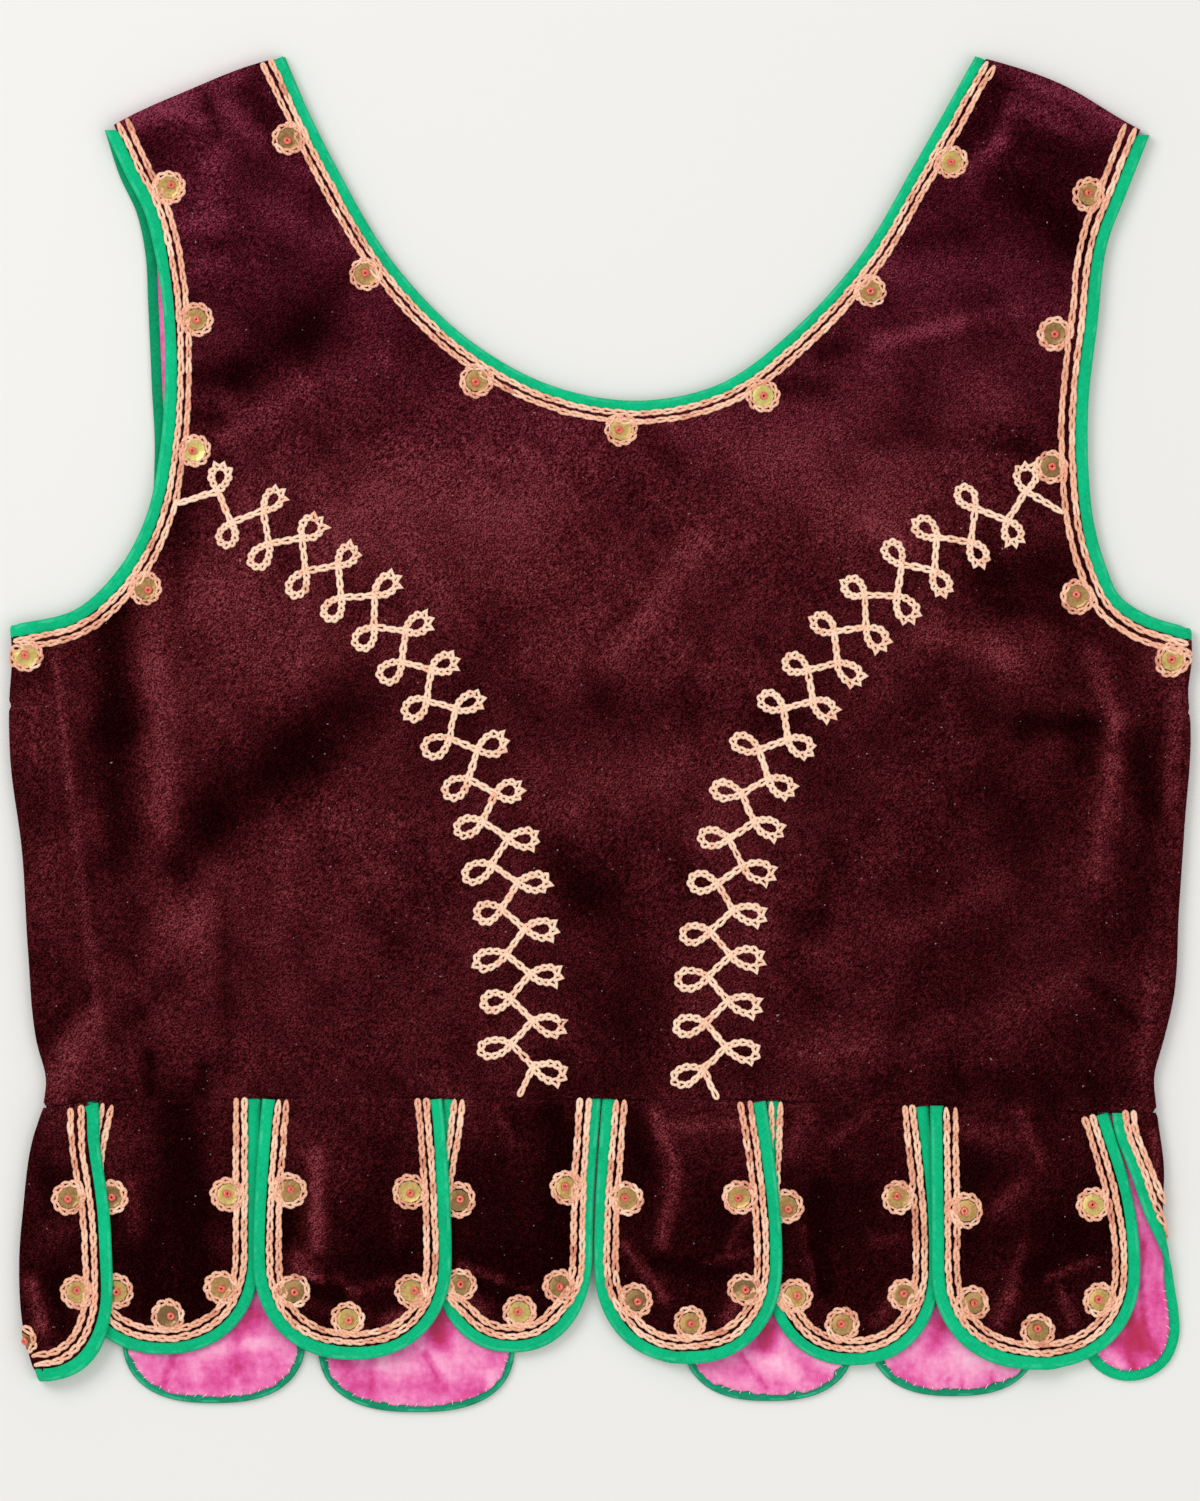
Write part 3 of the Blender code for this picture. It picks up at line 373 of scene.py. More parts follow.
def corner(first, second):
    """Where one edge meets the next: (the place, its segment on each extended edge)."""
    a, c = extended(first), extended(second)
    near = (first[-1] + second[0]) / 2
    ab, cd = np.diff(a, axis=0)[:, None], np.diff(c, axis=0)[None]
    ac = c[None, :-1] - a[:-1, None]
    cross = ab[..., 0] * cd[..., 1] - ab[..., 1] * cd[..., 0]
    cross = np.where(np.abs(cross) < 1e-9, np.inf, cross)
    t = (ac[..., 0] * cd[..., 1] - ac[..., 1] * cd[..., 0]) / cross
    u = (ac[..., 0] * ab[..., 1] - ac[..., 1] * ab[..., 0]) / cross
    place = a[:-1, None] + t[..., None] * ab
    away = np.linalg.norm(place - near, axis=-1)
    met = (t >= 0) & (t <= 1) & (u >= 0) & (u <= 1) & np.isfinite(cross)
    i, j = np.unravel_index(np.argmin(np.where(met, away, np.inf)), away.shape)
    return place[i, j], i, j


def outline(*edges, clear=1.0):
    """A closed outline of edges, each cut where it meets the next."""
    corners = [corner(edge, edges[(n + 1) % len(edges)]) for n, edge in enumerate(edges)]
    points = []
    for n, edge in enumerate(edges):
        start, _, first = corners[n - 1]
        end, last, _ = corners[n]
        middle = extended(edge)[first + 1:last + 1]
        points.append(start)
        points.extend(p for p in middle
                      if min(np.linalg.norm(p - start), np.linalg.norm(p - end)) > clear)
    return np.array(points)


def ease(t):
    """0 below 0, 1 above 1, and smooth between."""
    t = np.clip(t, 0.0, 1.0)
    return t * t * (3 - 2 * t)


def across_at(line, y):
    """x of a line that runs down, at a height."""
    return np.interp(-y, -line[:, 1], line[:, 0])


def waist_at(x):
    return np.interp(x, *np.transpose(WAIST))


def shoulder_at(x):
    return np.interp(x, *np.transpose(sorted(LEFT_SHOULDER + RIGHT_SHOULDER)))


def beside(stroke, x, y):
    """How near each point is to a stroke of the cloth: 1 on it, 0 far from it."""
    run_x, run_y = stroke.x1 - stroke.x0, stroke.y1 - stroke.y0
    t = ((x - stroke.x0) * run_x + (y - stroke.y0) * run_y) / (run_x**2 + run_y**2)
    t = np.clip(t, 0.0, 1.0)
    off = (x - stroke.x0 - t * run_x) ** 2 + (y - stroke.y0 - t * run_y) ** 2
    return np.exp(-off / stroke.spread**2)


def total(lines, x, y):
    """What all the strokes do together at each place."""
    return sum((line.by * beside(line, x, y) for line in lines), 0 * x)


def relief(x, y):
    """Height of the back's folds above the level where it would lie flat."""
    height = total(FOLDS + CREASES, x, y)
    for swell in SWELLS:
        off = ((x - swell.x) / swell.across) ** 2 + ((y - swell.y) / swell.along) ** 2
        height = height + swell.rise * np.exp(-off)
    return height * ease((shoulder_at(x) - y) / SHOULDER_REST)


left_side, right_side = smooth(LEFT_SIDE), smooth(RIGHT_SIDE)


def upper_height(x, y):
    """Height of the middle of the upper layer."""
    from_fold = np.minimum(x - across_at(left_side, y), across_at(right_side, y) - x)
    below_arm = ease((UNDER_ARM - y) / UNDER_ARM_RUN)
    puff = below_arm * (1 - ease((from_fold - FOLD_PUFF_START) / FOLD_PUFF_RUN))
    at_fold = LOWER_LEVEL + 2 * FOLD_RADIUS
    return at_fold * puff + (UPPER_LEVEL + relief(x, y)) * (1 - puff)


class Laid:
    """Cloth laid flat, its height given by a function of its place."""

    def __init__(self, height):
        self.height = height

    def points(self, x, y):
        return np.stack([x, y, self.height(x, y) + 0 * x], axis=-1)

    def normals(self, x, y, step=0.3):
        across = self.points(x + step, y) - self.points(x - step, y)
        along = self.points(x, y + step) - self.points(x, y - step)
        return unit(np.cross(across, along))


def distance_to(line, points):
    """Distance from each point to a line of straight runs."""
    start, run = line[:-1], np.diff(line, axis=0)
    nearest = np.full(len(points), np.inf)
    for (x, y), (run_x, run_y) in zip(start, run):
        t = (points[:, 0] - x) * run_x + (points[:, 1] - y) * run_y
        t = np.clip(t / (run_x**2 + run_y**2), 0.0, 1.0)
        away = np.hypot(points[:, 0] - x - t * run_x, points[:, 1] - y - t * run_y)
        nearest = np.minimum(nearest, away)
    return nearest


SEAM_DIP = 0.30             # how far the cloth goes down into a seam
SEAM_ROLL = 1.3             # distance from the seam over which it does so
# lightens the colour along each seam: a painted highlight
SEAM_SHADE = 0.20
sheets = []                 # each cloth with the edge that it was cut to
trims = []                  # all that is sewn to them


def make_piece(name, points, faces, finish, slot, uv=None, **attributes):
    """A piece from points in millimetres, riding on the frame."""
    mesh = bpy.data.meshes.new(name)
    mesh.from_pydata(np.asarray(points) * MM, [], faces)
    mesh.shade_smooth()
    for key, values in attributes.items():
        mesh.attributes.new(key, "FLOAT", "POINT").data.foreach_set("value", np.ravel(values))
    if uv is not None:
        mesh.uv_layers.new(name="along").uv.foreach_set("vector", np.ravel(uv))
    piece = bpy.data.objects.new(name, mesh)
    bpy.context.scene.collection.objects.link(piece)
    mesh.materials.append(finish)
    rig.ride(piece, "root")
    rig.slot(piece, slot)
    return piece


def repeated(faces, size, count):
    """The faces of one shape, again for each of its copies of so many points."""
    return [tuple(n + copy * size for n in face) for copy in range(count) for face in faces]


def lattice(low, high, cell, folded):
    """Points inside a cloth in a close lattice, and in columns round its fold if it has one."""
    across, along = np.meshgrid(np.arange(low[0], high[0], cell),
                                np.arange(low[1], high[1], cell * math.sqrt(3) / 2))
    across = across + cell / 2 * (np.arange(len(across)) % 2)[:, None]
    inner = np.column_stack([across.ravel(), along.ravel()])
    if folded:
        columns, rows = np.meshgrid(FOLD_COLUMNS, along[:, 0])
        at_fold = np.column_stack([columns.ravel(), rows.ravel()])
        inner = np.vstack([inner[np.abs(inner[:, 0]) > FOLD_COLUMNS[-1] + 1.0], at_fold])
        inner = inner[(inner[:, 0] > low[0]) & (inner[:, 0] < high[0])]
    return inner


def divided(edge, closed, cell, folded):
    """A flat piece divided finely: (places, faces)."""
    inner = lattice(closed.min(axis=0), closed.max(axis=0), cell, folded)
    inner = inner[distance_to(closed, inner) > cell / 3]
    ring = [(n, (n + 1) % len(edge)) for n in range(len(edge))]
    flat = [Vector(spot) for spot in np.vstack([edge, inner])]
    spots, _, faces, *_ = delaunay_2d_cdt(flat, ring, [], 1, SAME_PLACE)
    used = sorted({n for face in faces for n in face})
    number = {old: new for new, old in enumerate(used)}
    return (np.array([spots[n] for n in used]),
            [[number[n] for n in face] for face in faces])


def cut_cloth(name, node, edge, place, finish, slot="velvet", wall=WALL, cell=CLOTH_CELL, seams=(),
              step_out=0.0, folded=False, shading_strokes=PILE_AND_SHADE, drawn_up=None):
    """A piece of cloth: cut flat to its edge, divided finely, laid, and given its wall."""
    closed = np.vstack([edge, edge[:1]])
    spots, faces = divided(edge, closed, cell, folded)
    in_seam = sum((np.exp(-(distance_to(seam, spots) / SEAM_ROLL) ** 2) for seam in seams),
                  np.zeros(len(spots)))
    points = place.points(spots[:, 0], spots[:, 1])
    normals = place.normals(spots[:, 0], spots[:, 1])
    raised = step_out - SEAM_DIP * in_seam
    if drawn_up:
        raised += drawn_up(points[:, 0], points[:, 1], distance_to(closed, spots))
    points += normals * raised[:, None]
    # Its colour carries the shading strokes, painted shade and highlights, and the painted highlight along its seams.
    piece = make_piece(name, points, faces, finish, slot,
                       pile=total(shading_strokes, points[:, 0], points[:, 1]) + SEAM_SHADE * in_seam)
    solid = piece.modifiers.new("wall", "SOLIDIFY")
    solid.thickness = wall * MM
    solid.offset = 0.0
    solid.use_even_offset = False
    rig.replaces(piece, node)
    sheets.append((piece, edge))
    return piece


def cut_size(edge):
    """(width, length) and area of a flat piece, in metres."""
    width, length = (edge.max(axis=0) - edge.min(axis=0)) * MM
    x, y = edge[:, 0], edge[:, 1]
    area = abs(np.sum(x * np.roll(y, -1) - y * np.roll(x, -1))) / 2 * MM**2
    return dict(flat=(float(width), float(length)), area=float(area))


class Wire:
    """One socket of a finish's nodes. Arithmetic on it adds Math nodes."""

    def __init__(self, socket):
        self.socket = socket

    def node(self, kind, settings=(), sockets=(), output=0):
        """A new node in the same finish: its settings first, and then its sockets."""
        nodes = self.socket.id_data
        new = nodes.nodes.new("ShaderNode" + kind)
        for name, value in dict(settings).items():
            if name == "stops":
                ramp = new.color_ramp.elements
                while len(ramp) < len(value):
                    ramp.new(0.5)
                for stop, (position, colour) in zip(ramp, value):
                    stop.position = position
                    stop.color = (*colour, 1.0)
            else:
                setattr(new, name, value)
        for name, value in dict(sockets).items():
            if isinstance(value, Wire):
                nodes.links.new(value.socket, new.inputs[name])
            else:
                new.inputs[name].default_value = value
        return Wire(new.outputs[output])

    def math(self, operation, first, second=0.0):
        return self.node("Math", {"operation": operation}, {0: first, 1: second})

    def sine(self):
        return self.node("Math", {"operation": "SINE"}, {0: self})

    def attribute(self, name):
        """A value that the mesh carries at each of its points."""
        return self.node("Attribute", {"attribute_name": name}, output=2)

    def ramp(self, *stops):
        """A colour that changes through (value, colour) stops as this rises."""
        return self.node("ValToRGB", {"stops": stops}, {0: self})

    def __add__(self, other):
        return self.math("ADD", self, other)

    def __sub__(self, other):
        return self.math("SUBTRACT", self, other)

    def __rsub__(self, other):
        return self.math("SUBTRACT", other, self)

    def __mul__(self, other):
        return self.math("MULTIPLY", self, other)

    __radd__, __rmul__ = __add__, __mul__

    def between(self, low, high, start=0.0, end=1.0):
        """Runs smoothly from start to end as this goes from low to high."""
        return self.node("MapRange", {"interpolation_type": "SMOOTHSTEP"},
                         {0: self, 1: low, 2: high, 3: start, 4: end})

    def mix(self, first, second):
        """The first colour where this is 0 and the second where it is 1."""
        full = {key: value if isinstance(value, Wire) else (*value, 1.0)
                for key, value in ((6, first), (7, second))}
        return self.node("Mix", {"data_type": "RGBA", "clamp_factor": True},
                         {0: self, **full}, output=2)

    def stretched(self, x=1.0, y=1.0, turn=0.0):
        """A place measured in other units along two axes, which are turned about z."""
        return self.node("Mapping", {"vector_type": "TEXTURE"}, {
            "Vector": self, "Rotation": (0.0, 0.0, turn), "Scale": (1 / x, 1 / y, 1.0)})

    def noise(self, scale, detail=2.0, roughness=0.5):
        """Uneven from 0 to 1, with about that many lumps in a metre."""
        return self.node("TexNoise", {}, {"Vector": self, "Scale": scale, "Detail": detail,
                                          "Roughness": roughness})


def new_finish(name, roughness, **constant):
    """A finish and the place on the piece: (material, its shader, the place as a wire)."""
    material = bpy.data.materials.new(name)
    material.use_nodes = True
    shader = material.node_tree.nodes["Principled BSDF"]
    shader.inputs["Roughness"].default_value = roughness
    for socket, value in constant.items():
        shader.inputs[socket.replace("_", " ")].default_value = value
    place = material.node_tree.nodes.new("ShaderNodeTexCoord").outputs["Object"]
    return material, shader, Wire(place)


def feed(shader, socket, wire):
    shader.id_data.links.new(wire.socket, shader.inputs[socket])


def roughen(shader, height, strength, distance):
    """Small bumps over a finish, up to that many metres high."""
    feed(shader, "Normal", height.node("Bump", {}, {
        "Strength": strength, "Distance": distance, "Height": height}))


def velvet_finish():
    """Cotton velvet: a dark pile that shows mauve where it is brushed, over a fine twill. Its
    colour also holds painted shade and highlights of its folds.
    """
    material, shader, place = new_finish(
        "maroon_velvet", 0.92, Sheen_Weight=0.02, Sheen_Roughness=0.35,
        Sheen_Tint=(0.80, 0.25, 0.35, 1.0), Specular_IOR_Level=0.0)
    # The brushing of the pile together with painted shade and highlights of folds, creases and seams.
    brushed_and_shaded = place.attribute("pile")
    clouds = place.stretched(y=0.6, turn=-0.6).noise(30.0, 3.0, 0.5)
    creased = place.stretched(y=0.45, turn=0.7).noise(75.0, 3.0, 0.55)
    mottled = place.noise(430.0, 2.0, 0.5)
    tufts = place.noise(1750.0, 1.0, 0.6)
    twill = place.stretched(y=0.30, turn=-0.72).noise(1700.0, 1.0, 0.5)
    # The creased noise adds random streaks of painted crease shade.
    light = (clouds * 0.50 + creased * 0.30 + mottled * 0.24 + brushed_and_shaded * 0.45).between(0.05, 1.04)
    grain = (tufts * 1.2 + twill * 0.6).between(0.50, 1.30)
    deep = (light + 0.40) * (grain + 0.40) - 0.355
    pile = deep.ramp((0.0, (0.0050, 0.0004, 0.0005)), (0.30, (0.030, 0.0032, 0.0045)),
                     (0.55, (0.074, 0.0088, 0.0128)), (0.80, (0.135, 0.0205, 0.0290)),
                     (1.0, (0.225, 0.0450, 0.0600)))
    # Painted sheen: the colour is tinted mauve up the back, and browner lower down.
    up_the_back = place.node("SeparateXYZ", {}, {0: place}, output=1).between(0.06, 0.21)
    painted_sheen_tint = up_the_back.mix((1.0, 0.94, 0.90), (1.0, 0.80, 1.18))
    pile = pile.node("Mix", {"data_type": "RGBA", "blend_type": "MULTIPLY"},
                     {0: 1.0, 6: pile, 7: painted_sheen_tint}, output=2)
    lint = place.noise(900.0, 0.0).between(0.84, 0.90)
    feed(shader, "Base Color", lint.mix(pile, (0.26, 0.16, 0.17)))
    roughen(shader, grain, 0.35, 0.0004)
    return material


velvet = velvet_finish()

neck = smooth(NECK_EDGE)
left_armhole, right_armhole = smooth(LEFT_ARMHOLE), smooth(RIGHT_ARMHOLE)
left_shoulder, right_shoulder = smooth(LEFT_SHOULDER), smooth(RIGHT_SHOULDER)
left_back_seam, right_back_seam = smooth(LEFT_BACK_SEAM), smooth(RIGHT_BACK_SEAM)
half_seam = SEAM / 2
raw_edge = BINDING - UNDER_BINDING
upper = Laid(upper_height)


def waist_edge(left, right):
    """The waist seam between two places, running left to right."""
    stops = np.linspace(left, right, max(2, round(abs(right - left) / EDGE_STEP) + 1))
    return np.column_stack([stops, waist_at(stops)])


back_edge = outline(
    inset(waist_edge(*BACK_WAIST), half_seam),
    inset(right_back_seam[::-1], half_seam),
    inset(right_armhole, raw_edge),
    inset(right_shoulder, half_seam),
    inset(neck, raw_edge),
    inset(left_shoulder, half_seam),
    inset(left_armhole, raw_edge),
    inset(left_back_seam, half_seam))
back_seams = [waist_edge(*BACK_WAIST), left_back_seam, right_back_seam, left_shoulder,
              right_shoulder]
back = cut_cloth("back_cloth", "back_panel", back_edge, upper, velvet, seams=back_seams)


# ------------------------------
# The sides. Under each arm a small gusset, and a lower piece down to the waist, both of the
# same velvet. Each goes round the fold at the side and is seamed to the back and a front.
# ------------------------------

LEFT_FRONT_SEAM = ((-184, 75), (-178, -30), (-170, -150))
RIGHT_FRONT_SEAM = ((187, 80), (182, -30), (174, -155))
LEFT_GUSSET_SEAM = 10.7
RIGHT_GUSSET_SEAM = 7.9
SEAM_REACH = 10.0           # of a seam's line past the seams that it meets
ARM_CORNER = 75.0           # below it an armhole runs round the side
ARM_STOPS = np.linspace(0.8, -0.8, 6)     # of an armhole's edge in its turn at the fold
PAST_SEAMS, WAIST_STOPS = 4.0, 16     # how far its waist is drawn past its seams, and in how many


class Wound(Laid):
    """Cloth wound round a side fold. Its first measure is the distance from the fold along
    the cloth, positive on the upper layer."""

    def __init__(self, line, inward, height=upper_height):
        super().__init__(height)
        self.line, self.inward = line, inward

    def points(self, run, y):
        fold = across_at(self.line, y)
        past = np.abs(run) - FOLD_ARC
        turn = run / FOLD_RADIUS
        x = fold + self.inward * (past + FOLD_RADIUS)
        z = np.where(run > 0, self.height(x, y), LOWER_LEVEL)
        bent_x = fold + self.inward * FOLD_RADIUS * (1 - np.cos(turn))
        bent_z = LOWER_LEVEL + FOLD_RADIUS * (1 + np.sin(turn))
        return np.stack([np.where(past < 0, bent_x, x), y + 0 * x,
                         np.where(past < 0, bent_z, z)], axis=-1)

    def normals(self, run, y, step=0.3):
        return super().normals(run, y, step) * self.inward

    def flat(self, edge, layer):
        """A laid edge as it lies in the flat cloth, for layer 1, upper, or -1, lower."""
        return np.array([(layer * ((x - across_at(self.line, y)) * self.inward
                                   + FOLD_ARC - FOLD_RADIUS), y) for x, y in edge])


def front_armhole(rows, outward):
    """A front armhole edge, which lies a little further out than the back's."""
    return smooth([(x + outward * peek, y) for x, y, peek in rows])


left_wound, right_wound = Wound(left_side, 1), Wound(right_side, -1)
left_front_armhole = front_armhole(LEFT_ARMHOLE, -1)
right_front_armhole = front_armhole(RIGHT_ARMHOLE, 1)
left_front_seam, right_front_seam = smooth(LEFT_FRONT_SEAM), smooth(RIGHT_FRONT_SEAM)


def armhole_round(wound, back_armhole, front_armhole_edge):
    """The whole armhole in the flat cloth of the side, front at the left of the fold."""
    forward = wound.inward > 0
    on_back = wound.flat(back_armhole if forward else back_armhole[::-1], 1)
    on_front = wound.flat(front_armhole_edge if forward else front_armhole_edge[::-1], -1)
    rows = [p for p in on_back if p[0] > FOLD_ARC]
    rows += [(run, on_back[-1][1]) for run in FOLD_ARC * ARM_STOPS]
    rows += [p for p in on_front[::-1] if p[0] < -FOLD_ARC]
    return np.array(rows)


armholes = {"left": armhole_round(left_wound, left_armhole, left_front_armhole),
            "right": armhole_round(right_wound, right_armhole, right_front_armhole)}


def make_side(name, wound, back_seam, front_seam, gusset_seam):
    facing = wound.inward
    back_side, front_side = wound.flat(back_seam, 1), wound.flat(front_seam, -1)
    reach = (front_side[:, 0].min() - SEAM_REACH, back_side[:, 0].max() + SEAM_REACH)
    across = even(np.array([(run, gusset_seam) for run in reach]), EDGE_STEP)
    inner = facing * (max(facing * back_seam[-1][0], facing * front_seam[-1][0]) + PAST_SEAMS)
    fold_end = across_at(wound.line, waist_at(across_at(wound.line, WAIST[0][1])))
    stops = np.linspace(fold_end + facing * FOLD_RADIUS, inner, WAIST_STOPS)
    waist_plan = np.column_stack([stops, waist_at(stops)])
    waist = np.vstack([wound.flat(waist_plan, -1)[::-1], wound.flat(waist_plan, 1)])
    under_arm = np.array([p for p in armholes[name] if p[1] < ARM_CORNER])
    gusset = outline(inset(across, half_seam), inset(back_side[::-1], half_seam),
                     inset(under_arm, raw_edge), inset(front_side, half_seam))
    below = outline(inset(waist, half_seam), inset(back_side[::-1], half_seam),
                    inset(across[::-1], half_seam), inset(front_side, half_seam))
    for part, edge in (("upper", gusset), ("lower", below)):
        cut_cloth(f"side_{name}_{part}_cloth", f"side_{name}_{part}", edge, wound, velvet,
                  seams=(back_side, across, waist), folded=True)


make_side("left", left_wound, left_back_seam, left_front_seam, LEFT_GUSSET_SEAM)
make_side("right", right_wound, right_back_seam, right_front_seam, RIGHT_GUSSET_SEAM)


# ------------------------------
# The fronts, which lie underneath with their velvet down. They are cut like the back, with
# a low opening between them, and lined with pink satin. The left one's lining shows at the
# armhole, where the front lies a little further out than the back.
# ------------------------------

THIN_WALL = 1.0             # velvet or satin, where both sides of a piece show
LINING_STEP = 0.8           # from a piece's middle to the middle of its lining
FRONT_CELL = 7.0
LEFT_FRONT_EDGE = (
    (-32.5, -135.9), (-35, -60), (-44, 20), (-60, 90), (-82, 165), (-101.5, 214), (-118.3, 254.1))
RIGHT_FRONT_EDGE = (
    (141.4, 254.1), (121.5, 214), (101, 165), (73, 90), (51, 20), (38, -60), (33, -136.3))


def satin_finish():
    """Pink satin lining: a close weave, with broad soft highlights and shade painted in where it
    is drawn or creased.
    """
    material, shader, place = new_finish(
        "pink_satin", 0.38, Sheen_Weight=0.12, Sheen_Roughness=0.4,
        Sheen_Tint=(1.0, 0.75, 0.92, 1.0), Specular_IOR_Level=0.4)
    # Painted highlights and shade of the satin, from its strokes.
    drawn = place.attribute("pile")
    # Broad streaks of painted sheen.
    clouds = place.stretched(y=0.6, turn=0.1).noise(85.0, 3.0, 0.55)
    warp = place.stretched(y=0.10).noise(1500.0, 1.0)
    weft = place.stretched(x=0.10).noise(1300.0, 1.0)
    weave = warp * 0.6 + weft * 0.4
    nap = place.noise(420.0, 2.0, 0.6)
    light = (clouds * 0.7 + drawn * 0.28 + weave * 0.10 + nap * 0.30).between(-0.08, 1.18)
    feed(shader, "Base Color", light.ramp(
        (0.0, (0.42, 0.002, 0.050)), (0.16, (0.52, 0.015, 0.130)), (0.32, (0.68, 0.060, 0.290)),
        (0.50, (0.80, 0.160, 0.42)), (0.75, (0.93, 0.37, 0.59)), (1.0, (1.0, 0.66, 0.78))))
    roughen(shader, weave, 0.25, 0.0002)
    return material


satin = satin_finish()
lower = Laid(lambda x, y: LOWER_LEVEL)
left_front_edge, right_front_edge = smooth(LEFT_FRONT_EDGE), smooth(RIGHT_FRONT_EDGE)

left_front = outline(
    inset(waist_edge(-172.0, -32.5), half_seam),
    inset(left_front_edge, raw_edge),
    inset(left_shoulder, half_seam),
    inset(left_front_armhole, raw_edge),
    inset(left_front_seam, half_seam))
right_front = outline(
    inset(waist_edge(33.0, 176.0), half_seam),
    inset(right_front_seam[::-1], half_seam),
    inset(right_front_armhole, raw_edge),
    inset(right_shoulder, half_seam),
    inset(right_front_edge, raw_edge))
velvet_down = THIN_WALL / 2 - LOWER_LEVEL      # from its middle, where its lining lies on it
cut_cloth("front_left_cloth", "front_left", left_front, lower, velvet, wall=THIN_WALL,
          cell=FRONT_CELL, step_out=velvet_down)
cut_cloth("front_left_satin", "front_left_lining", left_front, lower, satin, "satin",
          wall=THIN_WALL, cell=FRONT_CELL, step_out=LINING_STEP, shading_strokes=())
cut_cloth("front_right_cloth", "front_right", right_front, lower, velvet, cell=FRONT_CELL)


# ------------------------------
# The tabs of the back: six round-ended pieces of velvet, sewn into the waist seam side by
# side. Every other one lies over its neighbours' bound edges. They are lined, and the
# lining draws them into shallow hollows and short creases at their round ends.
# ------------------------------

TAB_ROUND = 38.0            # height of a tab's rounded end
TAB_POWER = 2.2             # of the superellipse that rounds it
ROUND_STOPS, SIDE_STOPS = 60, 20
TAB_LIFT = 2.7              # of a tab's edge that lies on its neighbour
TAB_LIFT_FALL = 15.0
TAB_CROWN = 0.9
TAB_CROWN_START = 12.0
TAB_CROWN_RUN = 16.0
TAB_CELL = 2.6
Tab = namedtuple("Tab", "name top_left top_right wide_left wide_right bottom over_left over_right")
BACK_TABS = [Tab(*row) for row in (
    ("back_tab_1", -192.4, -127.1, -199.7, -127.3, -232.3, 0, 0),
    ("back_tab_2", -126.7, -59.3, -130.1, -55.7, -234.2, 8, 10),
    ("back_tab_3", -58.9, 0.3, -63.2, -3, -231.6, 0, 0),
    ("back_tab_4", 0.7, 61.9, -2.4, 68.1, -235.7, 0, 9),
    ("back_tab_5", 62.3, 123, 61.3, 127.6, -236.4, 0, 0),
    ("back_tab_6", 123.4, 190.2, 124, 202.3, -237.9, 7, 0))]
TAB_CREASES = strokes(
    (-155.5, -140, -156, -176.3, 3.6, -0.6), (-156, -176.3, -152.3, -195, 3.6, -0.6),
    (-152.3, -195, -149.9, -217.3, 3.4, -0.55), (-172, -150, -168, -192, 6, 0.4),
    (-146, -150, -144, -186, 4.5, 0.35), (-110.3, -148, -109.4, -195, 6, 0.5),
    (-112.2, -203, -84.2, -208, 2.6, -0.55), (-110, -197, -96, -201.5, 2.6, 0.5),
    (-80.4, -220.1, -75.8, -213.6, 2.4, 0.45), (-79.5, -184, -73.9, -176, 4, 0.35),
    (-119.6, -177, -119.6, -192, 4, -0.35), (-52.7, -198, -34, -205, 2.2, 0.6),
    (-54, -202.6, -34, -209.6, 2.4, -0.45), (-13.5, -155, -15.4, -206, 5, -0.4),
    (-42, -150, -36, -186, 6, 0.4), (25.7, -146, 21.9, -187, 5, 0.55),
    (35.9, -152, 31.3, -172, 4, 0.35), (10.7, -195, 24.7, -213, 2.2, 0.6),
    (8.7, -199, 16, -212, 2.4, -0.4), (31.3, -200.5, 48.1, -197.8, 2.4, 0.45),
    (48.1, -217.3, 54.6, -212.7, 2.8, 0.45), (80.4, -168, 78.9, -190.3, 2, 0.6),
    (78.9, -190.3, 83.2, -208, 2, 0.65), (83.2, -208, 80.4, -219.2, 2, 0.5),
    (84.4, -172, 87, -214, 2.6, -0.5), (100, -150, 98, -190, 7, 0.35),
    (134.4, -193.6, 145.7, -195, 2.2, 0.45), (166.2, -203.4, 183.9, -197.8, 2.4, 0.55),
    (156.9, -150, 158.8, -208, 5, 0.45), (140, -200, 152, -200, 2.6, -0.4),
    (-205, -150, -203, -200, 4, 0.3))
GATHER_DEPTH = 0.35         # of the small gathers where a tab goes into the waist seam
GATHER_PITCH = 9.0
GATHER_DRIFT = 7.0          # over which their pitch comes and goes
GATHER_FALL = 16.0
CREASE_FADE = 4.0           # inside the binding, over which the creases come up


def tab_edge(tab, top_left, top_right, rounded=TAB_ROUND, power=TAB_POWER):
    """The bound edge of a tab, down its left side, round its end and up its right side."""
    round_from = tab.bottom + rounded
    middle = (tab.wide_left + tab.wide_right) / 2
    half = (tab.wide_right - tab.wide_left) / 2
    turn = np.linspace(0.0, math.pi, ROUND_STOPS)[1:-1]
    x = middle - half * np.sign(np.cos(turn)) * np.abs(np.cos(turn)) ** (2 / power)
    y = round_from - rounded * np.abs(np.sin(turn)) ** (2 / power)
    down = np.linspace(0.0, 1.0, SIDE_STOPS)
    left, right = (np.column_stack([top + (wide - top) * np.sin(down * math.pi / 2),
                                    start + (round_from - start) * down])
                   for top, wide, start in ((tab.top_left, tab.wide_left, top_left),
                                            (tab.top_right, tab.wide_right, top_right)))
    return even(np.vstack([left, np.column_stack([x, y]), right[::-1]]), EDGE_STEP)


def side_at(edge, y, last):
    """x of a tab's left edge, or of its right edge if last, at a height."""
    lowest = int(np.argmin(edge[:, 1]))
    side = edge[lowest:] if last else edge[:lowest + 1][::-1]
    return np.interp(y, side[:, 1], side[:, 0])


def creased(x, y, inside):
    """Height of a tab's creases and of the gathers at its top, none at its binding."""
    gathers = np.sin(x * 2 * math.pi / GATHER_PITCH + np.sin(x / GATHER_DRIFT))
    near_top = 1 - ease((waist_at(x) - y) / GATHER_FALL)
    height = total(TAB_CREASES, x, y) + GATHER_DEPTH * gathers * near_top
    return height * ease((inside - BINDING) / CREASE_FADE)


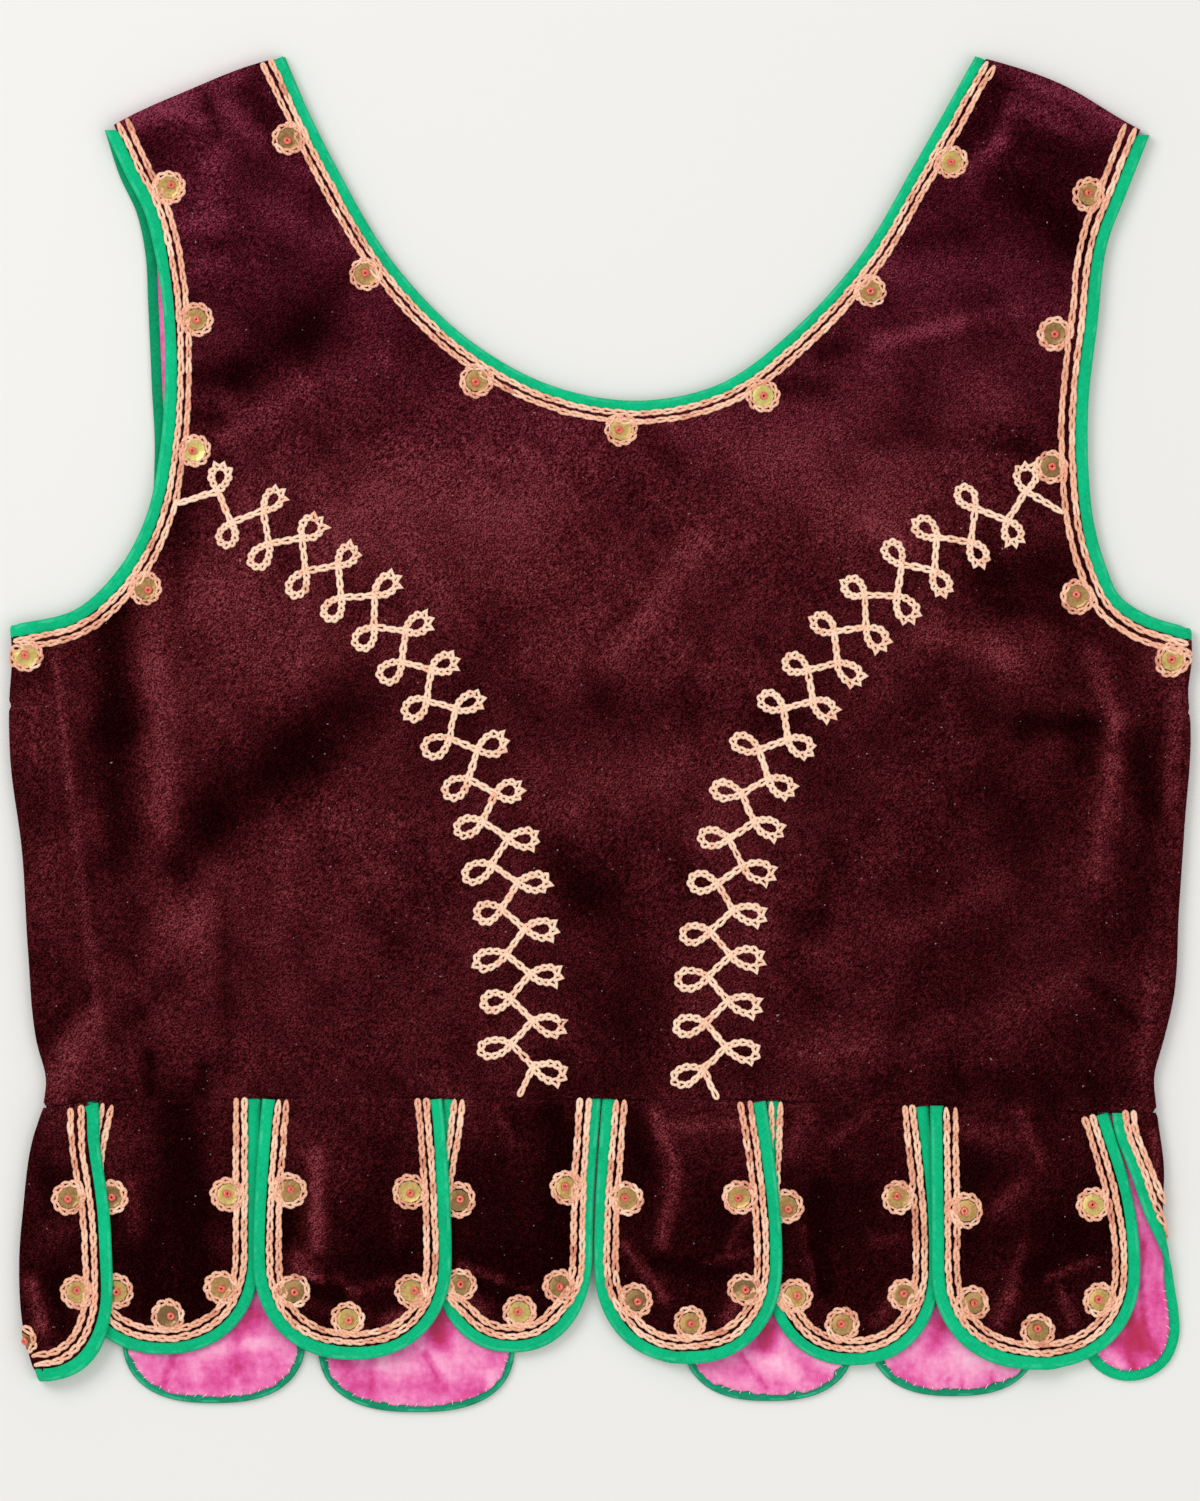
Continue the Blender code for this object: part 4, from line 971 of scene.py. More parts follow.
def tab_height(tab, edge):
    """Height of a back tab: lifted along an edge that lies on its neighbour, and crowned."""
    def height(x, y):
        from_left = x - side_at(edge, y, False)
        from_right = side_at(edge, y, True) - x
        inside = np.minimum(np.minimum(from_left, from_right), y - tab.bottom)
        raised = TAB_CROWN * ease((inside - TAB_CROWN_START) / TAB_CROWN_RUN)
        for distance, over in ((from_left, tab.over_left), (from_right, tab.over_right)):
            if over:
                raised = np.maximum(raised, TAB_LIFT * (1 - ease((distance - over)
                                                                 / TAB_LIFT_FALL)))
        return UPPER_LEVEL + raised + creased(x, y, inside)
    return height


tab_places = {}
tab_edges = {}
for tab in BACK_TABS:
    edge = tab_edge(tab, waist_at(tab.top_left) - half_seam, waist_at(tab.top_right) - half_seam)
    tab_places[tab.name] = Laid(tab_height(tab, edge))
    tab_edges[tab.name] = edge
    top = waist_edge(tab.top_left, tab.top_right)[::-1]
    cut_cloth(f"{tab.name}_cloth", tab.name, outline(inset(edge, raw_edge), inset(top, half_seam)),
              tab_places[tab.name], velvet, cell=TAB_CELL, seams=(top,))


# ------------------------------
# The tabs of the fronts, the same shape and a little longer. They lie underneath with
# their pink satin linings up, which show below the back's tabs. Each lining is felled down
# over the inner part of the binding, a little unevenly, and draws up in small creases.
# ------------------------------

FRONT_TAB_ROUND = 26.0
FRONT_TAB_POWER = 2.5
SATIN_CELL = 1.6
INNER_BINDING = 4.2
INNER_COVER = 0.4           # of the velvet's raw edge under the binding
FELLED = 2.7                # from a finished edge to the satin that is felled over its binding
FELLED_WAVER = 0.35
FELLED_STEP, FELLED_REACH = 1.0, 3
FELLED_RISE = 0.30          # of the satin's edge where it lies on the binding
FELLED_START, FELLED_RUN = 1.4, 2.4
SATIN_EASE = 0.7            # of its creases, which the iron has flattened a little
SATIN_FADE_START, SATIN_FADE = 0.6, 2.5
FRONT_TABS = [Tab(*row) for row in (
    ("front_tab_1", -179, -112, -179.4, -110.4, -250.7, 0, 0),
    ("front_tab_2", -107, -33, -105.9, -32.1, -254.1, 0, 0),
    ("front_tab_3", 33.5, 97, 30.6, 95.8, -249.9, 0, 0),
    ("front_tab_4", 100.3, 166, 100.3, 164.8, -248.1, 0, 0))]
SATIN_CREASES = strokes(
    (-159.2, -228, -163.3, -243.4, 1.8, -0.5), (-155.8, -230, -158.6, -243, 2.2, 0.45),
    (-146.8, -231.6, -132.6, -228.2, 2.6, 0.45), (-132, -236, -122, -240, 2.4, -0.35),
    (-136.3, -239.4, -135, -245.4, 1.6, 0.35), (-171, -222, -170, -234, 2.6, 0.35),
    (-66.4, -231.2, -61, -242.2, 1.6, -0.55), (-70, -231, -66, -243, 2.2, 0.4),
    (-57.4, -230.4, -52.4, -243.2, 2.4, 0.5), (-86.1, -232.1, -86.1, -247, 1.8, -0.45),
    (-79, -240, -72, -243, 2, 0.35), (-44, -230, -40, -240, 2.4, 0.35),
    (52.7, -231.8, 62.4, -245.4, 1.5, -0.55), (57.2, -231.3, 68, -243.8, 2, 0.45),
    (74, -236, 84, -243, 2.6, 0.35), (44, -230, 42, -241, 2.2, -0.35),
    (123.6, -231.3, 114.8, -238.8, 2.2, -0.45), (136, -230, 150, -236, 3, 0.4),
    (130.3, -240.4, 130.3, -244.8, 0.9, -0.35), (135.6, -241, 135.6, -245, 0.9, -0.35),
    (146.4, -238.9, 147, -243.2, 0.9, -0.35), (158, -218, 154, -232, 2.2, -0.4),
    (197.8, -168.9, 202.7, -185.8, 2.4, 0.45), (203.4, -191.4, 202.3, -206, 1.3, -0.6),
    (202.3, -206, 203.4, -220, 1.3, -0.6), (203.4, -220, 207, -231, 1.3, -0.5),
    (192, -190, 196, -212, 2.6, 0.35), (188.8, -230.4, 195.6, -237.6, 2.4, 0.35))
# Painted highlights and shade on the satin: lighter or darker along a stroke
SATIN_STROKES = strokes(
    (-129.6, -215.9, -135.6, -226.7, 4.2, -0.8), (-146.8, -231.6, -132.6, -228.2, 3, 0.7),
    (-132.6, -228.2, -120.6, -227.8, 3, 0.6), (-137.1, -233.4, -137.1, -238.3, 4, -0.6),
    (-159.2, -231.4, -163.3, -242.4, 1.7, -0.62), (-161.1, -238.7, -161.1, -244.3, 1.3, 0.56),
    (-169.3, -230.4, -169.3, -236.4, 5, -0.3), (-165, -243.5, -125, -243.5, 2, -0.31),
    (-136.3, -241.4, -136.3, -243.4, 1.8, 0.62), (-152, -236, -150, -241, 3, 0.45),
    (-61.3, -220, -60.6, -226, 5, -1.5), (-81.6, -236.6, -66.6, -237.2, 3.2, 0.6),
    (-64.3, -230.4, -56.4, -240.2, 2.6, 0.5), (-65.4, -232.2, -61.3, -241.2, 1.3, -0.93),
    (-53.1, -234.2, -45.9, -239.1, 2.4, 0.37), (-41.1, -233.3, -41.1, -236.3, 2.4, -0.37),
    (-39.6, -238.7, -40.6, -240, 1.8, 0.37), (-86.1, -234.1, -86.1, -247, 1.6, -0.43),
    (-95, -245, -45, -245, 3.2, -0.35), (-97, -228, -94, -240, 3, -0.4),
    (62.1, -223, 61, -229, 4.6, -1.5), (57.2, -232.3, 72.9, -239.8, 3.4, 0.7),
    (52.7, -232.8, 62.4, -245.4, 1.2, -0.81), (41.1, -235.8, 51.6, -239.1, 3.4, -0.5),
    (77.4, -237.6, 89.1, -243.7, 3, -0.55), (66, -243.2, 67.2, -243.2, 1.2, -0.56),
    (84, -230, 88, -236, 2.6, 0.25), (48, -237, 88, -236, 6, 0.4),
    (128.1, -221, 125.4, -227, 4.2, -1.2), (124.4, -230.3, 116.8, -236.8, 2, -0.37),
    (135, -233, 155, -232, 7, 0.6), (108.6, -239.6, 122.4, -244.3, 2.6, -0.34),
    (130.3, -241.4, 130.3, -244.8, 0.8, -0.62), (135.6, -242, 135.6, -245, 0.8, -0.62),
    (146.4, -239.4, 147, -243.2, 0.8, -0.62), (206, -150, 204, -240, 24, -0.45),
    (197.8, -166.9, 202.7, -185.8, 2.6, 0.56), (203.4, -190.4, 202.3, -206, 1.2, -0.68),
    (202.3, -206, 203.4, -220, 1.2, -0.68), (203.4, -220, 207.9, -231.9, 1.2, -0.62),
    (196, -215.2, 202.7, -229, 3.4, -1.1), (197, -227.6, 200, -238.6, 2, -0.56),
    (188.8, -229.4, 195.6, -237.6, 2.4, 0.68), (190, -186, 196, -206, 3.4, 0.4))

draw = np.random.default_rng(7)


def waver(count, reach=9):
    """Slow uneven numbers, mostly from -1 to 1, one for each step along an edge."""
    rough = draw.normal(size=count + 2 * reach)
    kernel = np.hanning(2 * reach + 1)
    return np.convolve(rough, kernel / np.sqrt(np.sum(kernel**2)), "valid")


def felled(edge):
    """The edge of a lining, felled down unevenly over the binding of a finished edge."""
    fine = even(edge, FELLED_STEP)
    return inset(fine, (FELLED + FELLED_WAVER * waver(len(fine), FELLED_REACH))[:, None])


def drawn_up(x, y, inside):
    """Height of a lining's creases, and of its edge over the binding."""
    height = SATIN_EASE * total(SATIN_CREASES, x, y)
    return (height * ease((inside - SATIN_FADE_START) / SATIN_FADE)
            + FELLED_RISE * (1 - ease((inside - FELLED_START) / FELLED_RUN)))


velvet_side = dict(finish=velvet, slot="velvet", wall=THIN_WALL, cell=TAB_CELL)
satin_side = dict(finish=satin, slot="satin", wall=THIN_WALL, cell=SATIN_CELL,
                  shading_strokes=SATIN_STROKES)
for tab in FRONT_TABS:
    edge = tab_edge(tab, waist_at(tab.top_left) - half_seam, waist_at(tab.top_right) - half_seam,
                    FRONT_TAB_ROUND, FRONT_TAB_POWER)
    tab_edges[tab.name] = edge
    tab_places[tab.name] = lower
    top = inset(waist_edge(tab.top_left, tab.top_right)[::-1], half_seam)
    cloth = outline(inset(edge, INNER_BINDING - INNER_COVER), top)
    lining = outline(felled(edge), top)
    cut_cloth(f"{tab.name}_cloth", tab.name, cloth, lower, step_out=velvet_down, **velvet_side)
    cut_cloth(f"{tab.name}_satin", f"{tab.name}_lining", lining, lower, step_out=LINING_STEP,
              drawn_up=drawn_up, **satin_side)


# ------------------------------
# The tabs at the sides, each folded round the side. The left one lies over the first back
# tab. The right one has twisted as it lies, so that part of its lining shows.
# ------------------------------

LEFT_SIDE_TAB = Tab("side_tab_left", -20.6, 20.6, -35.3, 35.3, -242.4, 0, 19)
# Distances from the fold along the cloth, above it if positive, and heights
RIGHT_SIDE_TAB_EDGE = (
    (17, -141.8), (16.9, -148.3), (14.2, -160.3), (10.4, -170.8), (6.8, -180.6), (3.4, -191),
    (0.4, -204.6), (-0.6, -216.9), (-1.4, -226), (-5.2, -235.6), (-12.2, -240.9), (-19.7, -242.4),
    (-27.2, -240.9), (-34, -236), (-38.4, -226), (-39.6, -210), (-36, -175), (-30.6, -141.4))
LEFT_TOP = np.linspace(24.0, -24.0, 13)
RIGHT_TOP = (20.0, -34.0)
TWIST_MIDDLE = 0.5          # along the cloth, where its velvet passes under its satin
NOT_FELLED = FELLED_RUN + 2.0         # far enough inside that no edge is raised


def left_top_at(run):
    """Height of the left tab's top below the waist seam, at distances from its fold."""
    past = np.maximum(np.abs(run) - FOLD_ARC, -FOLD_RADIUS)
    return waist_at(WAIST[0][0] + past + FOLD_RADIUS) - half_seam


left_tab_top = left_top_at(LEFT_SIDE_TAB.top_right - BINDING)
left_tab_edge = tab_edge(LEFT_SIDE_TAB, left_tab_top, left_tab_top)


def left_tab_height(x, y):
    from_edge = across_at(left_side, y) + side_at(left_tab_edge, y, True) - x
    lifted = TAB_LIFT * (1 - ease((from_edge - LEFT_SIDE_TAB.over_right) / TAB_LIFT_FALL))
    inside = np.minimum(from_edge, x - across_at(left_side, y))
    return (np.maximum(LOWER_LEVEL + 2 * FOLD_RADIUS, UPPER_LEVEL + lifted)
            + creased(x, y, inside))


left_tab_place = Wound(left_side, 1, left_tab_height)
left_top = np.column_stack([LEFT_TOP, left_top_at(LEFT_TOP)])
left_tab = outline(inset(left_tab_edge, raw_edge), left_top)
cut_cloth("side_tab_left_cloth", "side_tab_left", left_tab, left_tab_place, velvet, cell=TAB_CELL,
          seams=(left_top,), folded=True)

right_tab_place = Wound(right_side, -1, lambda x, y: LOWER_LEVEL + 2 * FOLD_RADIUS + 0 * x)
right_tab_top = waist_at(WAIST[-1][0]) - half_seam
right_tab_edge = smooth(RIGHT_SIDE_TAB_EDGE)[::-1]
right_top = even(np.array([(run, right_tab_top) for run in RIGHT_TOP]), EDGE_STEP)
right_tab = outline(inset(right_tab_edge, raw_edge), right_top)
cut_cloth("side_tab_right_cloth", "side_tab_right", right_tab, right_tab_place,
          step_out=-velvet_down, folded=True, **velvet_side)
cut_cloth("side_tab_right_satin", "side_tab_right_lining", right_tab, right_tab_place,
          step_out=-LINING_STEP, folded=True, drawn_up=lambda x, y, inside:
          -drawn_up(x, y, inside + NOT_FELLED), **satin_side)
tab_edges.update(side_tab_left=left_tab_edge, side_tab_right=right_tab_edge)
tab_places.update(side_tab_left=left_tab_place, side_tab_right=right_tab_place)


# ------------------------------
# The bindings: strips of emerald cotton, cut on the bias, sewn along each raw edge, turned
# over it and felled down inside. On the side that faces in they are narrower, painted in shade.
# ------------------------------

# Across the strip, from the finished edge inwards, and millimetres up from its middle
BINDING_SECTION = (
    (0.0, 0.0), (0.02, 0.42), (0.09, 0.85), (0.24, 1.12), (0.48, 1.20), (0.72, 1.16),
    (0.90, 0.98), (1.0, 0.45), (1.0, -0.40), (0.88, -0.80), (0.24, -0.85), (0.03, -0.45))
RIM = (0.02, 0.3)           # part of its width, where it turns over, that gets a painted highlight
BINDING_WAVER = 0.035       # of its width and height
FLOOR_GAP = 0.12            # that its underside keeps above the table


def tube_faces(rings, sides, closed=True, capped=False):
    """Faces between one ring of points and the next, and its two ends."""
    faces = [(r * sides + s, r * sides + (s + 1) % sides,
              (r + 1) % rings * sides + (s + 1) % sides, (r + 1) % rings * sides + s)
             for r in range(rings if closed else rings - 1) for s in range(sides)]
    if capped:
        faces += [tuple(range(sides))[::-1],
                  tuple((rings - 1) * sides + s for s in range(sides))]
    return faces


def binding_finish(name, light, dark):
    """Bias-cut cotton: a fine slanting weave, a little uneven, with a painted highlight along its
    rim and painted shade on its inner side.
    """
    material, shader, place = new_finish(name, 0.75, Sheen_Weight=0.04, Sheen_Roughness=0.5,
                                         Specular_IOR_Level=0.08)
    weave = (place.stretched(y=0.2, turn=0.78).noise(1900.0, 1.0) * 0.5
             + place.stretched(y=0.2, turn=-0.78).noise(1900.0, 1.0) * 0.5)
    clouds = place.noise(55.0, 3.0)
    # A painted highlight, in patches, along the rim where the binding turns over.
    patchy = (place.attribute("rim") * place.noise(160.0, 3.0, 0.6)).between(0.40, 0.62, 0.0, 0.6)
    tone = (clouds * 0.6 + weave * 1.1).between(0.50, 1.20)
    outer = patchy.mix(tone.mix(dark, light), (0.05, 0.56, 0.30))
    # Painted shade on the binding's inner side.
    shaded_inside = tone.mix([part * 0.55 for part in dark], [part * 0.62 for part in light])
    feed(shader, "Base Color", place.attribute("inner").mix(outer, shaded_inside))
    roughen(shader, weave, 0.5, 0.0003)
    return material


emerald = binding_finish("emerald_binding", (0.002, 0.53, 0.23), (0.001, 0.35, 0.152))
# A darker copy for the front tabs' bindings, whose inner side shows: painted shade.
shaded_emerald = binding_finish("inner_emerald_binding", (0.012, 0.31, 0.17), (0.004, 0.22, 0.105))


def bind_edge(name, edge, place, width=BINDING, finish=emerald, slot="binding", inner_below=-np.inf):
    """A binding along a finished edge, its ends cut level with the edge's own ends. Where it is
    left of inner_below, its inner side shows, painted in shade."""
    run = heading(edge)
    count = len(edge)
    wide = width * (1 + BINDING_WAVER * waver(count))
    thick = 1 + BINDING_WAVER * waver(count)
    rows = []
    for across, up in BINDING_SECTION:
        u = edge[:, 0] - run[:, 1] * wide * across
        v = np.minimum(edge[:, 1] + run[:, 0] * wide * across, edge[:, 1].max())
        rows.append(place.points(u, v) + place.normals(u, v) * (up * thick)[:, None])
    points = np.stack(rows, axis=1)
    points[..., 2] = np.maximum(points[..., 2], FLOOR_GAP)
    inner = np.repeat(edge[:, 0] < inner_below, len(rows)).astype(float)
    rim = np.tile([RIM[0] < across < RIM[1] and up > 0 for across, up in BINDING_SECTION], count)
    piece = make_piece(f"{name}_strip", points.reshape(-1, 3),
                       tube_faces(count, len(rows), closed=False, capped=True), finish, slot,
                       inner=inner, rim=rim.astype(float))
    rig.replaces(piece, name)
    trims.append(piece)


NECK_BINDING = 4.5          # it was sewn on a little nearer the edge there
bind_edge("binding_neck", neck, upper, NECK_BINDING)
bind_edge("binding_front_left", left_front_edge, lower)
bind_edge("binding_front_right", right_front_edge, lower)
bind_edge("binding_armhole_left", armholes["left"], left_wound, inner_below=-FOLD_ARC)
bind_edge("binding_armhole_right", armholes["right"], right_wound, inner_below=-FOLD_ARC)
for tab in BACK_TABS:
    bind_edge(f"binding_{tab.name}", tab_edges[tab.name], tab_places[tab.name])
for tab in FRONT_TABS:
    bind_edge(f"binding_{tab.name}", tab_edges[tab.name], lower, INNER_BINDING, shaded_emerald,
              "inner_binding")
bind_edge("binding_side_tab_left", left_tab_edge, left_tab_place)
bind_edge("binding_side_tab_right", right_tab_edge, right_tab_place)


# ------------------------------
# The rows of chain stitch, two beside every bound edge, in soft peach cotton thread. Each
# stitch is a loop drawn down by the next one, which rises inside it. The inner row turns
# once round every rosette on its way.
# ------------------------------

SHORTEST_STITCH = 0.6
THREAD_STEP = 0.74          # length of thread from one bend of a stitch to the next
STITCH_BENDS = 14
STRAND_SIDES = 6
OVERLAP = 0.20              # of a stitch that reaches past where the next one rises
SUNK_START = 0.04           # of a stitch, that lies back from where it rises
LOOP_NARROW, LOOP_WIDENING = 0.38, 0.92    # width of a loop at its start, and added by its end
UNEVEN_LOOP, UNEVEN_STRAND, UNEVEN_TINT, STITCH_SLIP = 0.09, 0.06, 0.12, 0.10
STRAND_LIFT = 0.40          # of its middle above the pile
STRAND_PRESSED = 0.85       # height of a strand, of its width
THREAD_TWIST = 1.3          # length of thread in one turn of its plies
ON_CLOTH = 1.0              # height of the velvet's pile above the middle of its wall
# By how much a stitch is raised or drawn out, and the middle and half of that part of it
RISE = (0.34, 0.14, 0.16)         # where it rises inside the one before
SCALLOP = (0.55, 0.66, 0.34)      # of its outer strand, for each radian of a turn
POINT = (1.0, 0.80, 0.13)         # of its outer strand, if it is a spike
# From a finished edge to the middles of both rows, the radius of the rosettes' rings, the
# length of a stitch, half its thread's thickness, and how far that stands to each side
Rows = namedtuple("Rows", "first second ring stitch strand loop_half")
NECK_ROWS = Rows(4.8, 7.9, 5.1, 4.6, 0.56, 0.71)
LEFT_ARMHOLE_ROWS = Rows(6.0, 9.1, 5.2, 4.9, 0.58, 0.73)
RIGHT_ARMHOLE_ROWS = Rows(6.0, 9.8, 5.3, 5.3, 0.61, 0.74)
TAB_ROWS = Rows(6.1, 9.3, 5.3, 4.4, 0.61, 0.75)
SIDE_TAB_ROWS = Rows(6.6, 9.9, 5.2, 4.4, 0.61, 0.75)
TURNED_TAB_ROWS = Rows(5.0, 7.8, 4.9, 4.4, 0.61, 0.75)
# How much nearer the edge the rows stand on a tab that dips under the next one, or rolls:
# at the seam and lower down, left and right
Nearer = namedtuple("Nearer", "left_top left_low right_top right_low")
NEARER = {"back_tab_3": Nearer(1.8, 3.9, 1.6, 2.2), "back_tab_4": Nearer(0.9, 1.3, 0.0, 0.0),
          "back_tab_5": Nearer(4.2, 5.0, 0.0, 0.0)}
WAIST_LEVEL, NEARER_FALL = -139.0, 45.0    # from the seam down to where the low ones hold
TAB_MIDDLE = 16.0           # width of the middle of a tab, where left passes into right
TAB_CORNER, CORNER_RISE = -222.0, 16.0     # below the corner the rows stand no nearer
RING_STITCHES = 10
SEAM_CLEAR = 0.7            # from the waist seam to the first stitch below it
ROW_STEP = 0.25
RING_LEAST, RING_MOST = 0.60, 1.12    # from the row to a ring's middle, of its radius
UNEVEN_RING = 0.03
FIRST_SHADE, SECOND_SHADE, TRAIL_SHADE = 0.63, 0.55, 0.88
ROSETTES = {
    "neck": (
        (-116.8, 223.3), (-86.1, 173.8), (-45.6, 133.7), (7.7, 115.3), (60.9, 126.9), (101.1, 166.3),
        (131.4, 214.3)),
    "armhole_left": ((-163.3, 204.2), (-152.1, 155.4), (-152.1, 106.3), (-170.4, 54.9), (-215.4, 30.6)),
    "armhole_right": ((182.8, 202.3), (169.7, 150.2), (168.9, 100.3), (178.7, 51.6), (214.3, 27.9)),
    "side_tab_left": ((-198.9, -173.4), (-195.9, -208.7), (-217.2, -226.4)),
    "back_tab_1": (
        (-182.1, -173.4), (-179.8, -207.9), (-162.2, -217.7), (-137.8, -172.3), (-139.7, -208.3)),
    "back_tab_2": (
        (-116.8, -170.8), (-115.7, -208.7), (-94.7, -218.4), (-71.1, -171.2), (-70.3, -208.3)),
    "back_tab_3": ((-53.1, -174.6), (-53.1, -206.4), (-30.6, -214.7), (-10.3, -169.7), (-12.9, -207.9)),
    "back_tab_4": ((9.9, -173.8), (13.3, -211.7), (33.6, -220.3), (52.3, -173.4), (54.2, -207.9)),
    "back_tab_5": ((69.6, -176.8), (71.1, -212.4), (90.6, -220.7), (110.4, -173.4), (113.8, -209.8)),
    "back_tab_6": ((135.2, -178.3), (138.9, -213.2), (163.7, -223.3), (183.9, -176.1), (186.9, -211.7))}


def thread_finish():
    """Soft cotton thread: plies that twist round each other, each stitch a little different."""
    material, shader, place = new_finish("peach_thread", 0.72, Sheen_Weight=0.25,
                                         Sheen_Roughness=0.45, Specular_IOR_Level=0.3)
    tint = place.attribute("tint")
    along = place.node("UVMap", {"uv_map": "along"})
    split = along.node("SeparateXYZ", {}, {0: along})
    across = Wire(split.socket.node.outputs[1])
    plies = (split * (2 * math.pi / THREAD_TWIST) + across * (4 * math.pi)).sine()
    fuzz = place.noise(1800.0, 2.0)
    # The plies also stripe the colour a little: painted shade in the grooves between them.
    tone = (tint * 0.95 + (fuzz - 0.5) * 0.35 + plies * 0.09).between(0.0, 1.0)
    feed(shader, "Base Color", tone.ramp(
        (0.0, (0.58, 0.20, 0.12)), (0.5, (0.87, 0.44, 0.285)), (1.0, (0.96, 0.69, 0.51))))
    roughen(shader, plies * 0.5 + fuzz * 0.4, 0.6, 0.0002)
    return material


peach = thread_finish()
Chain = namedtuple("Chain", "knots shade spikes")


def chain(knots, shade, spikes=0.0):
    """A row of stitches from knot to knot, as light as its shade. A spike draws a stitch's
    outer strand to a point that many millimetres out."""
    return Chain(knots, shade, np.zeros(len(knots) - 1) + spikes)


def turn_angles(knots):
    """How far a row turns at each knot between its ends."""
    return np.diff(np.unwrap(np.arctan2(*np.diff(knots, axis=0).T[::-1])))


def hump(along, by, middle, half):
    """So much at one place along a stitch, and less to both sides of it."""
    return by * np.exp(-((along - middle) / half) ** 2)


def rings_round(middle, across, up, sides):
    """Rings round each place of many threads, across and up by those vectors."""
    around = np.arange(sides) * 2 * math.pi / sides
    return middle[:, :, None] + (np.cos(around)[:, None] * across[:, :, None]
                                 + np.sin(around)[:, None] * up[:, :, None])


def sew(name, place, chains, strand, loop_half):
    """Chain stitches along the chains, as one joined mesh. Where a chain turns, a stitch's
    outer strand is drawn out in a scallop. Those that would go under the table are left out."""
    starts = np.vstack([row.knots[:-1] for row in chains])
    runs = np.vstack([np.diff(row.knots, axis=0) for row in chains])
    turns = np.concatenate([np.append(turn_angles(row.knots), 0.0) for row in chains])
    spikes = np.concatenate([row.spikes for row in chains])[:, None]
    shades = np.concatenate([np.full(len(row.knots) - 1, row.shade) for row in chains])
    count = len(starts)
    left = leftward(unit(runs))
    bend = np.arange(STITCH_BENDS) * 2 * math.pi / STITCH_BENDS
    along = (1 - np.cos(bend)) / 2
    hand = np.sign(np.sin(bend))
    spread = np.sin(bend) * (LOOP_NARROW + LOOP_WIDENING * along)
    plump = loop_half * (1 + UNEVEN_LOOP * draw.normal(size=(count, 1)))
    slip = STITCH_SLIP * draw.normal(size=(count, 1))
    outer = np.maximum(0.0, -np.sign(turns)[:, None] * hand)
    scallop = np.abs(turns[:, None]) * hump(along, *SCALLOP)
    drawn = spikes * hump(along, *POINT)
    aside = plump * spread + slip + outer * hand * (scallop + drawn)
    forward = along * (1 + OVERLAP) - SUNK_START
    spot = (starts[:, None] + runs[:, None] * forward[None, :, None]
            + left[:, None] * aside[..., None])
    lift = STRAND_LIFT + hump(along, *RISE)
    u, v = spot[..., 0], spot[..., 1]
    normals = place.normals(u, v)
    middle = place.points(u, v) + normals * (ON_CLOTH + lift[None, :, None])
    tangent = unit(np.roll(middle, -1, axis=1) - np.roll(middle, 1, axis=1))
    beside_it = unit(np.cross(tangent, normals))
    thick = strand * (1 + UNEVEN_STRAND * draw.normal(size=(count, 1, 1)))
    rings = rings_round(middle, thick * beside_it,
                        thick * STRAND_PRESSED * np.cross(beside_it, tangent), STRAND_SIDES)
    tint = shades + UNEVEN_TINT * draw.normal(size=count)
    clear = rings[..., 2].min(axis=(1, 2)) > 0
    rings, tint, count = rings[clear], tint[clear], int(clear.sum())
    stitch = tube_faces(STITCH_BENDS, STRAND_SIDES)
    size = STITCH_BENDS * STRAND_SIDES
    corners = np.array([((r + a) * THREAD_STEP, (s + b) / STRAND_SIDES)
                        for r in range(STITCH_BENDS) for s in range(STRAND_SIDES)
                        for a, b in ((0, 0), (0, 1), (1, 1), (1, 0))])
    trims.append(make_piece(name, rings.reshape(-1, 3), repeated(stitch, size, count), peach,
                            "thread", uv=np.tile(corners, (count, 1)),
                            tint=np.repeat(tint, size)))


def row_line(edge, distance, seam):
    """A row's line inside a finished edge, in fine steps. Below a seam, it starts at the seam."""
    line = even(inset(edge, distance), ROW_STEP)
    if seam:
        line = line[line[:, 1] < seam(line[:, 0]) - SEAM_CLEAR]
    return line


def nearer_by(group, edge):
    """How much nearer to its edge a group's rows stand, at each point of the edge."""
    by = NEARER.get(group, Nearer(0.0, 0.0, 0.0, 0.0))
    x, y = edge.T
    low = ease((WAIST_LEVEL - y) / NEARER_FALL)
    right = ease((x - (x.min() + x.max()) / 2) / TAB_MIDDLE + 0.5)
    left_by = by.left_top + (by.left_low - by.left_top) * low
    right_by = by.right_top + (by.right_low - by.right_top) * low
    above_corner = ease((y - TAB_CORNER) / CORNER_RISE)
    return ((left_by + (right_by - left_by) * right) * above_corner)[:, None]


def ringed(edge, rows, nearer, spots, seam):
    """The knots of the inner row, turned once round each rosette, and the rosettes' middles.
    A rosette stands inside the row, beside the nearest place on it to its spot."""
    line = row_line(edge, rows.second - nearer, seam)
    run = heading(line)
    away = [np.hypot(*(line - spot).T) for spot in spots]
    knots, middles, start = [line[:1]], [], 0
    for stop, near in sorted((int(np.argmin(off)), float(off.min())) for off in away):
        wide = rows.ring * (1 + UNEVEN_RING * draw.normal(size=2))
        inward = np.array([-run[stop, 1], run[stop, 0]])
        middle = line[stop] + inward * np.clip(near, rows.ring * RING_LEAST, rows.ring * RING_MOST)
        turn = np.linspace(0.0, 2 * math.pi, RING_STITCHES + 1)[1:, None]
        knots.append(even(line[start:stop + 1], rows.stitch)[1:])
        knots.append(middle - inward * wide[0] * np.cos(turn) + run[stop] * wide[1] * np.sin(turn))
        middles.append(middle)
        start = stop
    knots.append(even(line[start:], rows.stitch)[1:])
    knots = np.vstack(knots)
    apart = np.linalg.norm(np.diff(knots, axis=0), axis=1) > SHORTEST_STITCH
    return knots[np.append(True, apart)], np.array(middles)


